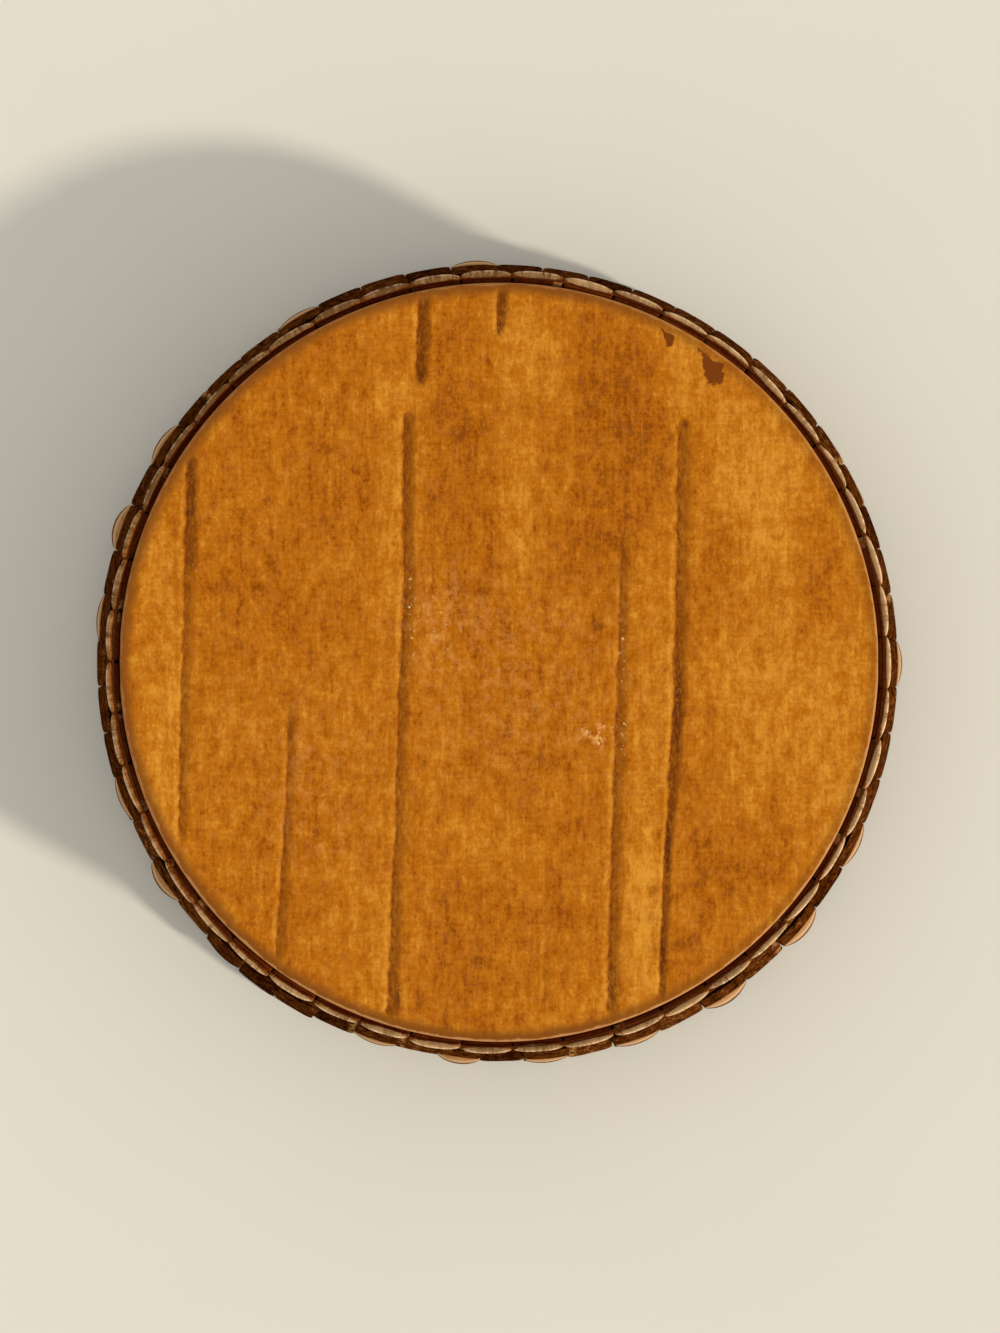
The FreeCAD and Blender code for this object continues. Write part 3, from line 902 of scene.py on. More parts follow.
class Shade:
    """Adds nodes to a tree. A method that works a value out takes sockets or plain values and returns the
    new output."""

    def __init__(self, tree):
        self.tree = tree

    def node(self, kind, **settings):
        made = self.tree.nodes.new(kind)
        for key, value in settings.items():
            setattr(made, key, value)
        return made

    def put(self, socket, value):
        if isinstance(value, bpy.types.NodeSocket):
            self.tree.links.new(value, socket)
        elif hasattr(value, "__len__") and len(value) == 3 and len(socket.default_value) == 4:
            socket.default_value = (*value, 1)
        else:
            socket.default_value = value

    def math(self, operation, first, second=0.5, clamp=False):
        made = self.node("ShaderNodeMath", operation=operation, use_clamp=clamp)
        self.put(made.inputs[0], first)
        self.put(made.inputs[1], second)
        return made.outputs[0]

    def times(self, first, second, clamp=False):
        return self.math("MULTIPLY", first, second, clamp)

    def left(self, value):
        """What a value leaves of 1."""
        return self.math("SUBTRACT", 1.0, value)

    def add_all(self, first, *others):
        for other in others:
            first = self.math("ADD", first, other)
        return first

    def centred(self, value, strength):
        """A value about 0.5, taken as a difference from it and made stronger or weaker."""
        return self.times(self.math("SUBTRACT", value, 0.5), strength)

    def blend(self, start, grain, **weights):
        """A value with each named output of the grain added to it, centred and times its weight."""
        return self.add_all(start, *(self.centred(grain[name], share) for name, share in weights.items()))

    def dot(self, vector, direction):
        """How far a vector reaches along a direction."""
        made = self.node("ShaderNodeVectorMath", operation="DOT_PRODUCT")
        self.put(made.inputs[0], vector)
        made.inputs[1].default_value = direction
        return made.outputs["Value"]

    def span(self, value, low, high):
        """Rises smoothly from 0 at low to 1 at high."""
        made = self.node("ShaderNodeMapRange", interpolation_type="SMOOTHSTEP")
        self.put(made.inputs["Value"], value)
        self.put(made.inputs["From Min"], low)
        self.put(made.inputs["From Max"], high)
        return made.outputs["Result"]

    def scaled(self, vector, scale):
        made = self.node("ShaderNodeVectorMath", operation="MULTIPLY")
        self.put(made.inputs[0], vector)
        self.put(made.inputs[1], scale)
        return made.outputs[0]

    def noise(self, vector, scale, detail, rough, twist=0.0):
        """Noise over a vector, scaled along each axis first."""
        made = self.node("ShaderNodeTexNoise")
        self.put(made.inputs["Vector"], self.scaled(vector, scale))
        made.inputs["Scale"].default_value = 1
        made.inputs["Detail"].default_value = detail
        made.inputs["Roughness"].default_value = rough
        made.inputs["Distortion"].default_value = twist
        return made.outputs[0]

    def mix(self, factor, first, second):
        made = self.node("ShaderNodeMix", data_type="RGBA")
        self.put(made.inputs[0], factor)
        self.put(made.inputs[6], first)
        self.put(made.inputs[7], second)
        return made.outputs[2]

    def ramp(self, value, stops):
        """Colours along a value from 0 to 1: pairs of place and colour."""
        made = self.node("ShaderNodeValToRGB")
        elements = made.color_ramp.elements
        while len(elements) < len(stops):
            elements.new(0.5)
        for element, (place, colour) in zip(elements, stops):
            element.position = place
            element.color = (*colour, 1)
        self.put(made.inputs[0], value)
        return made.outputs[0]

    def attribute(self, name, output="Fac"):
        made = self.node("ShaderNodeAttribute", attribute_name=name)
        return made.outputs[output]

    def object_mm(self):
        """The piece's own coordinates in millimetres, through a mapping node."""
        place = self.node("ShaderNodeTexCoord").outputs["Object"]
        mapping = self.node("ShaderNodeMapping")
        mapping.inputs["Scale"].default_value = (1 / MM, 1 / MM, 1 / MM)
        self.put(mapping.inputs["Vector"], place)
        return mapping.outputs[0]

    def use(self, group, **inputs):
        """A node group in this tree, with its inputs set by name."""
        made = self.node("ShaderNodeGroup", node_tree=group)
        for key, value in inputs.items():
            self.put(made.inputs[key.replace("_", " ")], value)
        return made.outputs

    def bump(self, height, strength, distance):
        made = self.node("ShaderNodeBump")
        made.inputs["Strength"].default_value = strength
        made.inputs["Distance"].default_value = distance
        self.put(made.inputs["Height"], height)
        return made.outputs[0]

    def finish(self, shader, colour, rough, height, strength, distance):
        """Gives a shader its colour, its roughness and the bumps of this height."""
        self.put(shader.inputs["Base Color"], colour)
        self.put(shader.inputs["Roughness"], rough)
        self.put(shader.inputs["Normal"], self.bump(height, strength, distance))


def shared_group(name, build, inputs, outputs):
    """The node group of this name. The first time, build fills it: it takes the group's inputs and returns
    what the group puts out. Inputs without a value are vectors."""
    if name in bpy.data.node_groups:
        return bpy.data.node_groups[name]
    group = bpy.data.node_groups.new(name, "ShaderNodeTree")
    for label, value in inputs.items():
        kind = "NodeSocketVector" if value is None else "NodeSocketFloat"
        socket = group.interface.new_socket(label, in_out="INPUT", socket_type=kind)
        if value is not None:
            socket.default_value = value
    for label in outputs:
        group.interface.new_socket(label, in_out="OUTPUT", socket_type="NodeSocketFloat")
    shade = Shade(group)
    start = group.nodes.new("NodeGroupInput").outputs
    end = group.nodes.new("NodeGroupOutput").inputs
    for label, value in zip(outputs, build(shade, start)):
        shade.put(end[label], value)
    return group


def grain_nodes(shade, start):
    """Bark grain over places in millimetres, with the grain along Y: broad blotches, cloudy patches, small
    specks, fine fibres along the grain, short strokes across it, and a height made of them."""
    sized = shade.node("ShaderNodeVectorMath", operation="SCALE")
    shade.put(sized.inputs[0], start["Vector"])
    shade.put(sized.inputs["Scale"], start["Size"])
    place = sized.outputs[0]
    blotch = shade.noise(place, (0.10, 0.055, 0.08), 3, 0.6, 0.4)
    patch = shade.noise(place, (0.62, 0.36, 0.45), 4, 0.75)
    speck = shade.noise(place, (2.3, 1.9, 2.0), 3, 0.75)
    fibre = shade.noise(place, (1.7, 0.13, 1.3), 4, 0.75)
    stroke = shade.noise(place, (0.25, 2.2, 1.6), 4, 0.7)
    height = shade.add_all(
        shade.times(speck, 0.5),
        shade.times(fibre, 0.35),
        shade.times(stroke, 0.15),
    )
    return blotch, patch, speck, fibre, stroke, height


def grain_group():
    outputs = ["Blotch", "Patch", "Speck", "Fibre", "Stroke", "Height"]
    return shared_group("bark_grain", grain_nodes, {"Vector": None, "Size": 1}, outputs)


def pore_nodes(shade, start):
    """The short dark dashes of birch bark, along X: long thin cells, a share of them filled with an
    uneven oval."""
    combined = shade.node("ShaderNodeCombineXYZ")
    shade.put(combined.inputs[0], start["Along"])
    shade.put(combined.inputs[1], start["Across"])
    combined.inputs[2].default_value = 0.35
    place = shade.scaled(start["Vector"], combined.outputs[0])
    cells = shade.node("ShaderNodeTexVoronoi", feature="F1")
    shade.put(cells.inputs["Vector"], place)
    cells.inputs["Scale"].default_value = 1
    chance = shade.node("ShaderNodeSeparateColor")
    shade.put(chance.inputs[0], cells.outputs["Color"])
    ragged = shade.noise(start["Vector"], (1.2, 5.0, 5.0), 2, 0.5)
    reach = shade.add_all(cells.outputs["Distance"], shade.centred(ragged, 0.25))
    dash = shade.left(shade.span(reach, 0.10, 0.26))
    chosen = shade.math("LESS_THAN", chance.outputs[0], start["Share"])
    return [shade.times(dash, chosen)]


def pore_group():
    inputs = {"Vector": None, "Along": 0.12, "Across": 0.8, "Share": 0.3}
    return shared_group("bark_pores", pore_nodes, inputs, ["Mask"])


def wear_nodes(shade, start):
    """Rubbed or cut edges: a mask that starts where Edge passes Start, ragged by a fine noise."""
    noise = shade.noise(start["Vector"], (2.2, 2.2, 2.2), 4, 0.65)
    offset = shade.times(shade.math("SUBTRACT", noise, 0.5), start["Ragged"])
    value = shade.math("ADD", start["Edge"], offset)
    high = shade.math("ADD", start["Start"], start["Soft"])
    return [shade.span(value, start["Start"], high)]


def wear_group():
    inputs = {"Vector": None, "Edge": 0, "Start": 0.9, "Soft": 0.05, "Ragged": 0.1}
    return shared_group("edge_wear", wear_nodes, inputs, ["Mask"])


def chip_nodes(shade, start):
    """A missing flake: inside four sides about a centre, made ragged by noise."""
    away = shade.node("ShaderNodeVectorMath", operation="SUBTRACT")
    shade.put(away.inputs[0], start["Vector"])
    shade.put(away.inputs[1], start["Centre"])
    furthest = None
    for side in ((0.39, 0.73, 0), (-0.97, -0.24, 0), (0.07, -0.62, 0), (0.86, -0.12, 0)):
        reach = shade.dot(away.outputs[0], side)
        furthest = reach if furthest is None else shade.math("MAXIMUM", furthest, reach)
    noise = shade.noise(start["Vector"], (0.9, 0.9, 0.9), 4, 0.6)
    reach = shade.add_all(shade.math("DIVIDE", furthest, start["Size"]), shade.centred(noise, 1.6))
    return [shade.left(shade.span(reach, 0.85, 1.1))]


def chip_group():
    inputs = {"Vector": None, "Centre": None, "Size": 1}
    return shared_group("missing_flake", chip_nodes, inputs, ["Mask"])


def new_material(name):
    """A material whose tree holds only a principled shader and its output."""
    material = bpy.data.materials.new(name)
    material.use_nodes = True
    tree = material.node_tree
    tree.nodes.clear()
    shade = Shade(tree)
    shader = shade.node("ShaderNodeBsdfPrincipled")
    output = shade.node("ShaderNodeOutputMaterial")
    tree.links.new(shader.outputs[0], output.inputs[0])
    return material, shade, shader


def polished_bark(colours):
    """The lid's face: orange bark with broad stains and fine grain, dark grooves with a painted highlight on
    their crests, and a rubbed edge with a browner lip, partly painted shade, under a thin satin varnish with
    painted glints and a painted sheen."""
    material, shade, shader = new_material("polished_bark")
    place = shade.object_mm()
    grain = shade.use(grain_group(), Vector=place, Size=1.0)
    tone = shade.blend(0.465, grain, Blotch=0.60, Patch=1.5, Speck=0.9, Fibre=0.7, Stroke=0.40)
    # The broad stains, with the painted highlight on the grooves' crests
    tone = shade.math("ADD", tone, shade.attribute("stains_and_crest_highlight"))
    colour = shade.ramp(tone, [
        (0.05, colours.face_dark),
        (0.32, colours.face_deep),
        (0.55, colours.face_mid),
        (0.98, colours.face_light),
    ])
    # A pale pinkish painted sheen, a little over the whole face and more in some places, stands in for a
    # reflection in the varnish, where the varnish is also made rougher
    mist = shade.noise(place, (0.8, 0.7, 1.0), 5, 0.75)
    dull_and_painted_sheen = shade.math("ADD", shade.attribute("dull_and_painted_sheen"), 0.10)
    dull_and_painted_sheen = shade.times(dull_and_painted_sheen, shade.span(mist, 0.46, 0.66))
    colour = shade.mix(shade.times(dull_and_painted_sheen, 0.8), colour, colours.dull_and_painted_sheen)
    ragged = shade.noise(place, (2.6, 1.0, 1.0), 4, 0.8)
    rough_share = shade.math("ADD", 0.92, shade.centred(ragged, 3.0))
    groove = shade.times(shade.attribute("groove"), rough_share, True)
    colour = shade.mix(groove, colour, colours.groove)
    crack = shade.times(shade.attribute("crack"), shade.span(ragged, 0.38, 0.56))
    colour = shade.mix(crack, colour, colours.crack)

    # From the edge inwards: a rubbed line, and a browner lip that is fainter on the right, towards the light.
    # Its stronger brown on the left is partly painted shade
    uneven = shade.noise(place, (0.5, 0.5, 1.0), 4, 0.65)
    inward = shade.math("ADD", shade.attribute("inward"), shade.centred(uneven, 0.9))
    near_edge = shade.left(shade.span(inward, 0.45, 1.95))
    lip_share = shade.times(shade.span(shade.dot(place, (1, 0, 0)), 5, 38), 0.5)
    lip_share = shade.math("SUBTRACT", 0.9, lip_share)
    colour = shade.mix(shade.times(near_edge, lip_share), colour, colours.lip)
    rubbed_side = shade.span(shade.dot(place, (0.35, -0.94, 0)), -25, 20)
    rubbed_side = shade.math("ADD", 0.45, shade.times(rubbed_side, 0.45))
    outer_line = shade.left(shade.span(inward, 0.12, 0.34))
    outer_line = shade.times(outer_line, shade.times(rubbed_side, 0.8), True)
    colour = shade.mix(outer_line, colour, colours.edge_line)
    below = shade.left(shade.span(shade.attribute("inward"), -0.7, -0.15))
    colour = shade.mix(below, colour, colours.strip_inside)
    chips = None
    for centre, size in CHIPS:
        mask = shade.use(chip_group(), Vector=place, Centre=centre, Size=size)["Mask"]
        chips = mask if chips is None else shade.math("MAXIMUM", chips, mask)
    colour = shade.mix(chips, colour, colours.chip)
    # Small painted glints stand in for highlights in the varnish
    fine = shade.noise(place, (1.5, 1.2, 1.0), 3, 0.7)
    speck = shade.times(shade.span(fine, 0.61, 0.66), shade.attribute("speck"))
    colour = shade.mix(shade.times(speck, 0.85), colour, colours.glint)
    rough = shade.add_all(
        0.42, shade.centred(grain["Speck"], 0.3), shade.times(groove, 0.25),
        shade.times(outer_line, 0.15), shade.times(dull_and_painted_sheen, 0.15),
    )
    shader.inputs["Specular IOR Level"].default_value = 0.03
    shader.inputs["Coat Weight"].default_value = 0.05
    shader.inputs["Coat Roughness"].default_value = 0.24
    height = shade.add_all(grain["Height"], shade.times(chips, -1.2), shade.times(crack, -0.8))
    shade.finish(shader, colour, rough, height, 0.5, 0.07 * MM)
    return material


def strip_bark(name, colours, face, face_dark, face_light, crest_share, sliver_share):
    """Bark of the folded strips: a stained outer face with short dark dashes along it, a rubbed crest with a
    bright line, pale cut edges, and brown to black bark inside the fold, which is partly painted shade. The
    crest and the inside of the fold are painted darker on the side away from the light. The grain follows
    each strip, and each strip has a tone of its own."""
    material, shade, shader = new_material(name)
    place = shade.attribute("place", "Vector")
    grain = shade.use(grain_group(), Vector=place, Size=1.8)
    own_tone = shade.attribute("tone")
    tone = shade.blend(0.5, grain, Patch=1.6, Speck=0.8, Fibre=0.5)
    tone = shade.math("ADD", tone, shade.times(own_tone, 0.16))
    colour = shade.ramp(tone, [(0.3, face_dark), (0.7, face), (1.0, face_light)])
    pores = shade.use(pore_group(), Vector=place, Along=1.5, Across=0.34, Share=0.25)
    colour = shade.mix(shade.times(pores["Mask"], 0.7), colour, colours.pore)

    # Inside the fold the bark goes brown to near black: partly its own tone, partly painted shade, darkest
    # between the legs and on the side away from the light
    far = shade.times(shade.span(shade.attribute("behind"), 0.80, 1.0), 0.45)
    lit = shade.times(shade.attribute("wear_and_lit_side"), 0.6)
    depth_tone = shade.add_all(
        -0.3, lit, far, shade.centred(grain["Patch"], 1.3), shade.times(own_tone, 0.2)
    )
    inside = shade.ramp(depth_tone, [(0.2, colours.strip_deep), (0.85, colours.strip_inside)])
    colour = shade.mix(shade.span(shade.attribute("behind"), 0.25, 0.6), colour, inside)

    crest = shade.use(
        wear_group(), Vector=place, Edge=shade.attribute("crest"), Start=0.3, Soft=0.4, Ragged=0.5
    )["Mask"]
    # The rubbed crest and its bright line are painted darker on the side away from the light: painted shade
    wear_and_lit_side_tone = shade.math("SUBTRACT", shade.attribute("wear_and_lit_side"), 0.5)
    wear_and_lit_side_tone = shade.blend(wear_and_lit_side_tone, grain, Patch=1.0, Speck=0.6)
    wear_and_lit_side_tone = shade.math("ADD", wear_and_lit_side_tone, shade.times(own_tone, 0.12))
    wear_and_lit_side = shade.ramp(wear_and_lit_side_tone, [(0.0, colours.fold_dark), (0.5, colours.fold)])
    colour = shade.mix(shade.times(crest, crest_share), colour, wear_and_lit_side)
    line = shade.times(shade.attribute("line"), shade.span(grain["Patch"], 0.36, 0.62))
    line = shade.times(line, shade.attribute("wear_and_lit_side"))
    colour = shade.mix(shade.times(line, crest_share), colour, colours.fold_line)

    edge = shade.use(
        wear_group(), Vector=place, Edge=shade.attribute("edge"), Start=0.965, Soft=0.03, Ragged=0.05
    )["Mask"]
    sliver = shade.times(shade.attribute("sliver"), shade.span(grain["Patch"], 0.40, 0.58))
    outside = shade.left(shade.span(shade.attribute("behind"), 0.15, 0.5))
    edge = shade.times(shade.times(edge, outside), 0.4)
    pale = shade.math("MAXIMUM", edge, shade.times(sliver, sliver_share))
    colour = shade.mix(pale, colour, colours.cut_edge)
    rough = shade.add_all(0.62, shade.centred(grain["Speck"], 0.3), shade.times(crest, 0.1))
    shader.inputs["Specular IOR Level"].default_value = 0.0
    height = shade.add_all(grain["Height"], shade.times(pores["Mask"], -0.4))
    shade.finish(shader, colour, rough, height, 0.6, 0.10 * MM)
    return material


def woven_bark(colours):
    """Bark of the woven strip: dark like the wall, rubbed tan where a loop stands out, with a bright line
    above its dark lower edge, and painted shade where it runs between the legs of the uprights."""
    material, shade, shader = new_material("woven_bark")
    place = shade.attribute("place", "Vector")
    turned = shade.node("ShaderNodeMapping")
    turned.inputs["Rotation"].default_value = (0, 0, np.pi / 2)
    shade.put(turned.inputs["Vector"], place)
    grain = shade.use(grain_group(), Vector=turned.outputs[0], Size=1.8)
    tone = shade.blend(0.5, grain, Patch=1.6, Speck=0.8, Fibre=0.5)
    colour = shade.ramp(tone, [(0.3, colours.wall_dark), (0.7, colours.wall), (1.0, colours.wall_light)])
    wear_and_lit_side = shade.ramp(tone, [(0.0, colours.wall), (0.4, colours.weft)])
    worn = shade.use(
        wear_group(), Vector=place, Edge=shade.attribute("past"), Start=-0.85, Soft=0.2, Ragged=0.25
    )["Mask"]
    colour = shade.mix(shade.times(worn, 0.95), colour, wear_and_lit_side)
    pores = shade.use(pore_group(), Vector=place, Along=0.34, Across=1.5, Share=0.25)
    colour = shade.mix(shade.times(pores["Mask"], 0.7), colour, colours.pore)
    line = shade.times(shade.attribute("low_line"), worn)
    colour = shade.mix(shade.times(line, 0.5), colour, colours.fold_line)
    colour = shade.mix(shade.times(shade.attribute("low_dark"), 0.9), colour, colours.wall_dark)
    # Painted shade where the strip runs between the legs of an upright
    tucked_in_shade = shade.left(shade.attribute("out"))
    colour = shade.mix(shade.times(tucked_in_shade, 0.8), colour, colours.wall_dark)
    shader.inputs["Specular IOR Level"].default_value = 0.0
    height = shade.add_all(grain["Height"], shade.times(pores["Mask"], -0.4))
    shade.finish(shader, colour, shade.blend(0.62, grain, Speck=0.3), height, 0.6, 0.10 * MM)
    return material


def lining_bark(name, colours, light, dark, from_attribute, pore_share):
    """Smooth inner bark of a band or a sheet, with the short dark dashes of birch and rubbed edges."""
    material, shade, shader = new_material(name)
    place = shade.attribute("place", "Vector") if from_attribute else shade.object_mm()
    grain = shade.use(grain_group(), Vector=place, Size=0.9)
    tone = shade.blend(0.5, grain, Blotch=0.9, Speck=0.7, Stroke=0.4)
    colour = shade.ramp(tone, [(0.15, dark), (0.75, light)])
    long_pores = shade.use(pore_group(), Vector=place, Along=0.10, Across=0.75, Share=pore_share)
    short_pores = shade.use(pore_group(), Vector=place, Along=0.35, Across=1.9, Share=pore_share * 0.8)
    mask = shade.math("MAXIMUM", long_pores["Mask"], short_pores["Mask"])
    colour = shade.mix(shade.times(mask, 0.75), colour, colours.pore)
    edge = shade.use(
        wear_group(), Vector=place, Edge=shade.attribute("edge"), Start=0.5, Soft=0.3, Ragged=0.4
    )
    colour = shade.mix(shade.times(edge["Mask"], 0.5), colour, colours.cut_edge)
    height = shade.add_all(grain["Height"], shade.times(mask, 0.5))
    shade.finish(shader, colour, shade.blend(0.5, grain, Speck=0.3), height, 0.45, 0.08 * MM)
    return material


def hoop_bark(colours):
    """Plain brown bark of the hoops, which show only in the gaps between strips."""
    material, shade, shader = new_material("hoop_bark")
    place = shade.object_mm()
    grain = shade.use(grain_group(), Vector=place, Size=1.5)
    tone = shade.blend(0.5, grain, Speck=1.2, Blotch=0.6)
    colour = shade.ramp(tone, [(0.1, colours.wall_dark), (0.8, colours.hoop)])
    shader.inputs["Specular IOR Level"].default_value = 0.0
    shade.finish(shader, colour, shade.blend(0.65, grain, Speck=0.2), grain["Height"], 0.4, 0.08 * MM)
    return material


def floor_finish(colours):
    """The plain pale floor, with only a faint change of tone."""
    material, shade, shader = new_material("floor_finish")
    place = shade.object_mm()
    tone = shade.noise(place, (0.02, 0.02, 0.02), 2, 0.5)
    darker = tuple(part * 0.96 for part in colours.floor)
    shade.put(shader.inputs["Base Color"], shade.mix(tone, darker, tuple(colours.floor)))
    shader.inputs["Roughness"].default_value = 0.85
    shader.inputs["Specular IOR Level"].default_value = 0.2
    return material


# Operators, one for each piece or group of like pieces


class BARKBOX_OT_lid_face(bpy.types.Operator):
    """Makes the lid's polished face"""

    bl_idname = "barkbox.lid_face"
    bl_label = "Lid face"

    def execute(self, context):
        points, faces, values = face_surface(context.scene.bark_box_sizes)
        material = polished_bark(context.scene.bark_box_colours)
        put_piece(
            context, "lid_face", points, faces, values, material, LID, ["lid_face_disc"]
        )
        return {"FINISHED"}


class BARKBOX_OT_lid_strips(bpy.types.Operator):
    """Makes the folded strips of the lid's rim"""

    bl_idname = "barkbox.lid_strips"
    bl_label = "Lid strips"

    def execute(self, context):
        sizes = context.scene.bark_box_sizes
        colours = context.scene.bark_box_colours
        wall = {
            "sheet": LID_SHEET,
            "low": lid_low.z,
            "high": lid_high.z,
            "foot_radius": lid_radius,
            "rim_radius": lid_radius,
            "depth": LID_DEPTH,
            "cut": 0.45 * MM,
            "inner_drop": 1.1 * MM,
            "inner_lean": 0.42 * MM,
            "edge_drop": 0.22 * MM,
            "width": 2 * lid_radius * np.tan(np.pi / LID_STRIPS) - LID_GAP,
            "flare": 0.0,
            "cup": sizes.lid_cup,
            "yaw": 0.045,
            "swells": LID_SWELLS,
            "swells_at_foot": False,
            "sliver_place": (172, 40),
            "sliver_inside": True,
            "sliver_from": 0.58,
            "uneven_top": 0.10 * MM,
            "crest_from": 0.90,
            # How much darker the side away from the light is painted, as painted shade
            "shaded_side_darkening": 0.5,
        }
        turns = np.arange(LID_STRIPS) * 2 * np.pi / LID_STRIPS
        rng = np.random.default_rng(sizes.seed)
        even = np.ones(LID_STRIPS)
        points, faces, values = folded_strips(turns, even, wall, rng, sizes, LID_SECTION_STEPS)
        material = strip_bark(
            "lid_strip_bark", colours, colours.lid_strip, colours.wall, colours.fold, 1.0, 0.8
        )
        put_piece(
            context, "lid_strips", points, faces, values, material, LID, ["lid_uprights"]
        )
        return {"FINISHED"}


class BARKBOX_OT_lid_layers(bpy.types.Operator):
    """Makes the sheet under the lid's face and the lining, and dresses the hoop"""

    bl_idname = "barkbox.lid_layers"
    bl_label = "Lid layers"

    def execute(self, context):
        colours = context.scene.bark_box_colours
        sheet = lining_bark("lid_sheet_bark", colours, colours.sheet, colours.lining_dark, False, 0.35)
        lining = lining_bark("lid_lining_bark", colours, colours.lining, colours.lining_dark, True, 0.3)
        put_sheet(
            context, "lid_backing", backing_box, (0.0, 0.12 * MM), 3, sheet, LID,
            "lid_backing_disc",
        )
        put_band(context, "lid_lining", lining_box, LINING_SHEET, 270, 5, lining, LID, "lid_lining_band")
        dress_node("lid_hoop", hoop_bark(colours))
        return {"FINISHED"}


class BARKBOX_OT_base_strips(bpy.types.Operator):
    """Makes the folded strips of the base's wall"""

    bl_idname = "barkbox.base_strips"
    bl_label = "Base strips"

    def execute(self, context):
        sizes = context.scene.bark_box_sizes
        colours = context.scene.bark_box_colours
        wall = {
            "sheet": BASE_SHEET,
            "low": base_low.z,
            "high": base_high.z,
            "foot_radius": foot_radius,
            "rim_radius": rim_radius,
            "depth": BASE_DEPTH,
            "cut": 0.45 * MM,
            "inner_drop": 0.2 * MM,
            "inner_lean": 0.0,
            "edge_drop": 0.05 * MM,
            "width": 2 * rim_radius * np.tan(np.pi / BASE_STRIPS) - BASE_GAP,
            "flare": 2 * (foot_radius - rim_radius) * np.tan(np.pi / BASE_STRIPS),
            "cup": sizes.base_cup,
            "yaw": 0.02,
            "swells": FOOT_SWELLS,
            "swells_at_foot": True,
            "sliver_place": (290, 60),
            "sliver_inside": False,
            "sliver_from": 0.72,
            "uneven_top": 0.03 * MM,
            "crest_from": 0.94,
            "shaded_side_darkening": 0.0,
        }
        even = np.arange(BASE_STRIPS) * 2 * np.pi / BASE_STRIPS
        turns = crowded(even)
        spacing = (np.roll(turns, -1) - np.roll(turns, 1)) % (2 * np.pi) * BASE_STRIPS / (4 * np.pi)
        rng = np.random.default_rng(sizes.seed + 1)
        points, faces, values = folded_strips(turns, spacing, wall, rng, sizes, BASE_SECTION_STEPS)
        material = strip_bark(
            "base_strip_bark", colours, colours.wall, colours.wall_dark, colours.wall_light, 0.3, 0.9
        )
        put_piece(
            context, "base_strips", points, faces, values, material, BASE,
            ["base_looped_uprights", "base_plain_uprights"],
        )
        return {"FINISHED"}


class BARKBOX_OT_woven_strip(bpy.types.Operator):
    """Makes the strip that is woven round the base"""

    bl_idname = "barkbox.woven_strip"
    bl_label = "Woven strip"

    def execute(self, context):
        colours = context.scene.bark_box_colours
        points, faces, values = woven_surface()
        put_piece(
            context, "woven_strip", points, faces, values, woven_bark(colours), BASE,
            ["base_woven_strip"],
        )
        return {"FINISHED"}


class BARKBOX_OT_base_layers(bpy.types.Operator):
    """Makes the collar and the bottom sheets, and dresses the hoops"""

    bl_idname = "barkbox.base_layers"
    bl_label = "Base layers"

    def execute(self, context):
        colours = context.scene.bark_box_colours
        collar = lining_bark("collar_bark", colours, colours.lining, colours.lining_dark, True, 0.3)
        bottom = lining_bark("bottom_bark", colours, colours.sheet, colours.lining_dark, False, 0.4)
        floor = lining_bark("floor_bark", colours, colours.lining, colours.lining_dark, False, 0.3)
        put_band(context, "collar", collar_box, COLLAR_SHEET, 90, 2, collar, BASE, "base_collar_band")
        put_sheet(
            context, "bottom_sheet", bottom_box, (0.0, 0.10 * MM), 6, bottom, BASE,
            "base_bottom_disc",
        )
        put_sheet(
            context, "floor_sheet", floor_box, (0.1 * MM, 0.0), 8, floor, BASE,
            "base_floor_disc",
        )
        hoop = hoop_bark(colours)
        dress_node("base_foot_hoop", hoop)
        dress_node("base_rim_hoop", hoop)
        return {"FINISHED"}


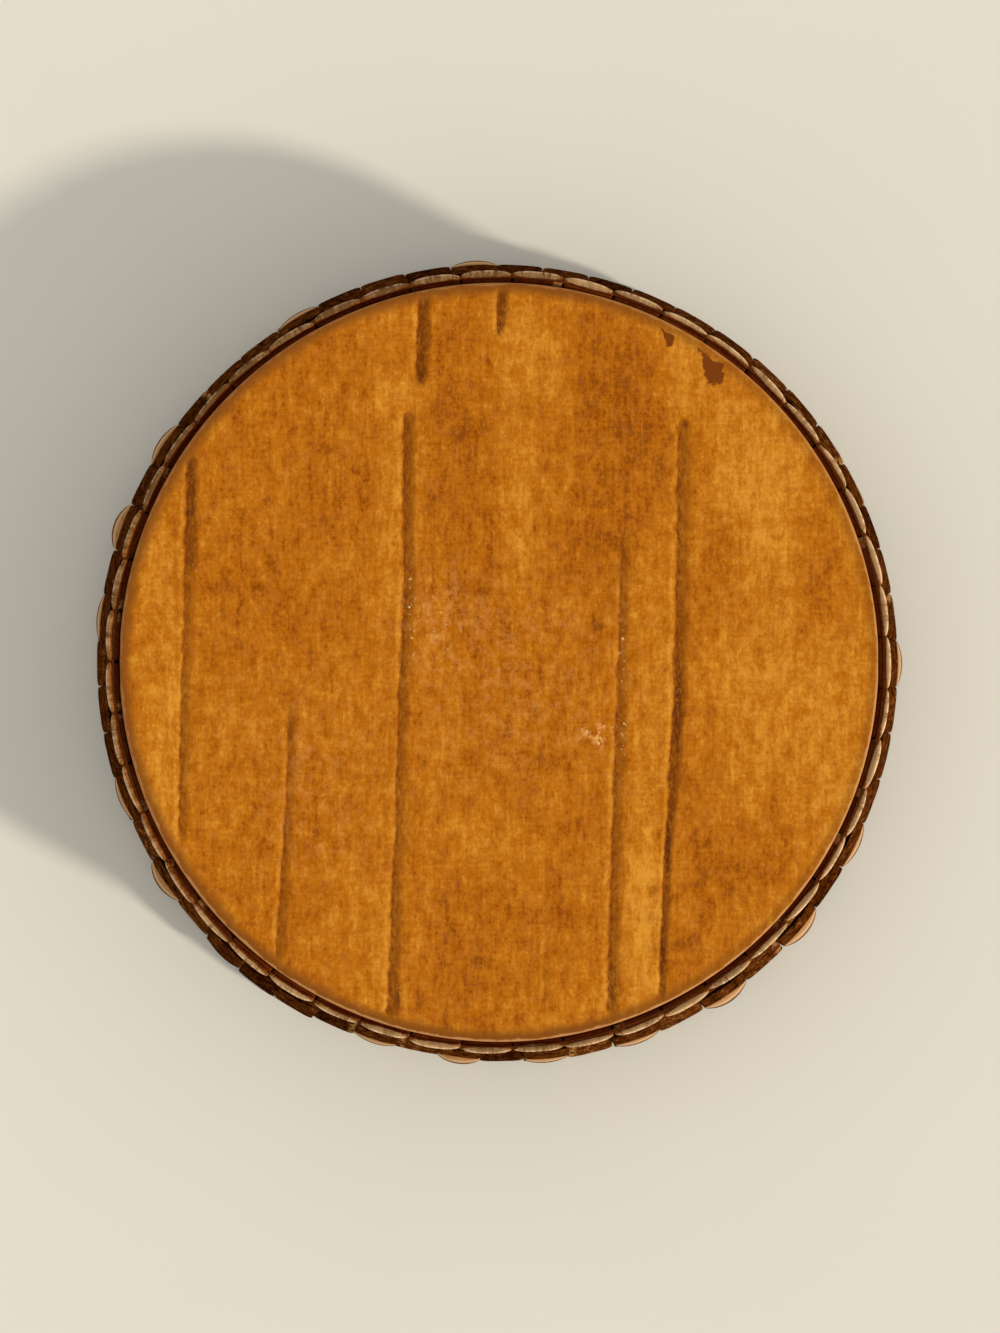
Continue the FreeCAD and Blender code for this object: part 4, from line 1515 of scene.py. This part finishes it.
class BARKBOX_OT_stage(bpy.types.Operator):
    """Makes the floor, the light and the camera"""

    bl_idname = "barkbox.stage"
    bl_label = "Stage"

    def execute(self, context):
        scene = context.scene
        light = scene.bark_box_light
        signs = [(-1, -1), (1, -1), (1, 1), (-1, 1)]
        corners = [(x * FLOOR_HALF, y * FLOOR_HALF, -FLOOR_DROP) for x, y in signs]
        mesh = bpy.data.meshes.new("stage_floor")
        mesh.from_pydata(corners, [], [(0, 1, 2, 3)])
        mesh.materials.append(floor_finish(scene.bark_box_colours))
        floor = bpy.data.objects.new("stage_floor", mesh)
        scene.collection.objects.link(floor)

        # An even sky lights the box. What the camera sees above the floor has the floor's colour
        world = bpy.data.worlds.new("stage_sky")
        world.use_nodes = True
        world.node_tree.nodes.clear()
        shade = Shade(world.node_tree)
        sky = shade.node("ShaderNodeBackground")
        sky.inputs["Color"].default_value = (*SKY_COLOUR, 1)
        sky.inputs["Strength"].default_value = light.sky
        seen = shade.node("ShaderNodeBackground")
        seen.inputs["Color"].default_value = (*scene.bark_box_colours.floor, 1)
        chosen = shade.node("ShaderNodeMixShader")
        path = shade.node("ShaderNodeLightPath").outputs
        seen_by = shade.math("ADD", path["Is Camera Ray"], path["Is Glossy Ray"], True)
        seen_by = shade.math("ADD", seen_by, path["Is Transmission Ray"], True)
        shade.put(chosen.inputs[0], seen_by)
        shade.tree.links.new(sky.outputs[0], chosen.inputs[1])
        shade.tree.links.new(seen.outputs[0], chosen.inputs[2])
        shade.tree.links.new(chosen.outputs[0], shade.node("ShaderNodeOutputWorld").inputs[0])
        scene.world = world

        key = bpy.data.lights.new("stage_key", "SUN")
        key.energy = light.key
        key.angle = np.radians(LIGHT_WIDTH)
        key.color = LIGHT_COLOUR
        lamp = bpy.data.objects.new("stage_key", key)
        towards = Vector((*LIGHT_HEADING, np.tan(np.radians(LIGHT_RISE))))
        lamp.rotation_mode = "QUATERNION"
        lamp.rotation_quaternion = towards.to_track_quat("Z", "Y")
        scene.collection.objects.link(lamp)

        camera = bpy.data.cameras.new("stage_camera")
        camera.lens = light.lens
        camera.sensor_width = 36
        camera.clip_start = 0.01
        camera.clip_end = 10
        eye = bpy.data.objects.new("stage_camera", camera)
        place = Vector((*CAMERA_PLACE, light.height))
        aim = Vector((*CAMERA_AIM, face_high.z))
        direction = (aim - place).normalized()
        right = direction.cross(Vector((0, 1, 0))).normalized()
        up = right.cross(direction)
        turned = Matrix((right, up, -direction)).transposed().to_4x4()
        eye.matrix_world = Matrix.Translation(place) @ turned
        scene.collection.objects.link(eye)
        scene.camera = eye
        scene.view_settings.view_transform = "Standard"
        return {"FINISHED"}


PIECE_OPERATORS = (
    BARKBOX_OT_lid_face,
    BARKBOX_OT_lid_strips,
    BARKBOX_OT_lid_layers,
    BARKBOX_OT_base_strips,
    BARKBOX_OT_woven_strip,
    BARKBOX_OT_base_layers,
    BARKBOX_OT_stage,
)


class BARKBOX_PT_panel(bpy.types.Panel):
    """Lists the box's pieces and their settings"""

    bl_idname = "BARKBOX_PT_panel"
    bl_label = "Bark box"
    bl_space_type = "VIEW_3D"
    bl_region_type = "UI"
    bl_category = "Bark box"

    def draw(self, context):
        column = self.layout.column()
        for operator in PIECE_OPERATORS:
            column.operator(operator.bl_idname)
        for group in ("bark_box_sizes", "bark_box_colours", "bark_box_light"):
            settings = getattr(context.scene, group)
            for name in settings.__annotations__:
                column.prop(settings, name)


CLASSES = (BarkBoxSizes, BarkBoxColours, BarkBoxLight, *PIECE_OPERATORS, BARKBOX_PT_panel)


def register():
    for cls in CLASSES:
        bpy.utils.register_class(cls)
    bpy.types.Scene.bark_box_sizes = PointerProperty(type=BarkBoxSizes)
    bpy.types.Scene.bark_box_colours = PointerProperty(type=BarkBoxColours)
    bpy.types.Scene.bark_box_light = PointerProperty(type=BarkBoxLight)


def unregister():
    del bpy.types.Scene.bark_box_light
    del bpy.types.Scene.bark_box_colours
    del bpy.types.Scene.bark_box_sizes
    for cls in reversed(CLASSES):
        bpy.utils.unregister_class(cls)


def main():
    """Makes every piece and the stage."""
    register()
    bpy.ops.barkbox.lid_face()
    bpy.ops.barkbox.lid_strips()
    bpy.ops.barkbox.lid_layers()
    bpy.ops.barkbox.base_strips()
    bpy.ops.barkbox.woven_strip()
    bpy.ops.barkbox.base_layers()
    bpy.ops.barkbox.stage()


if __name__ == "__main__":
    main()
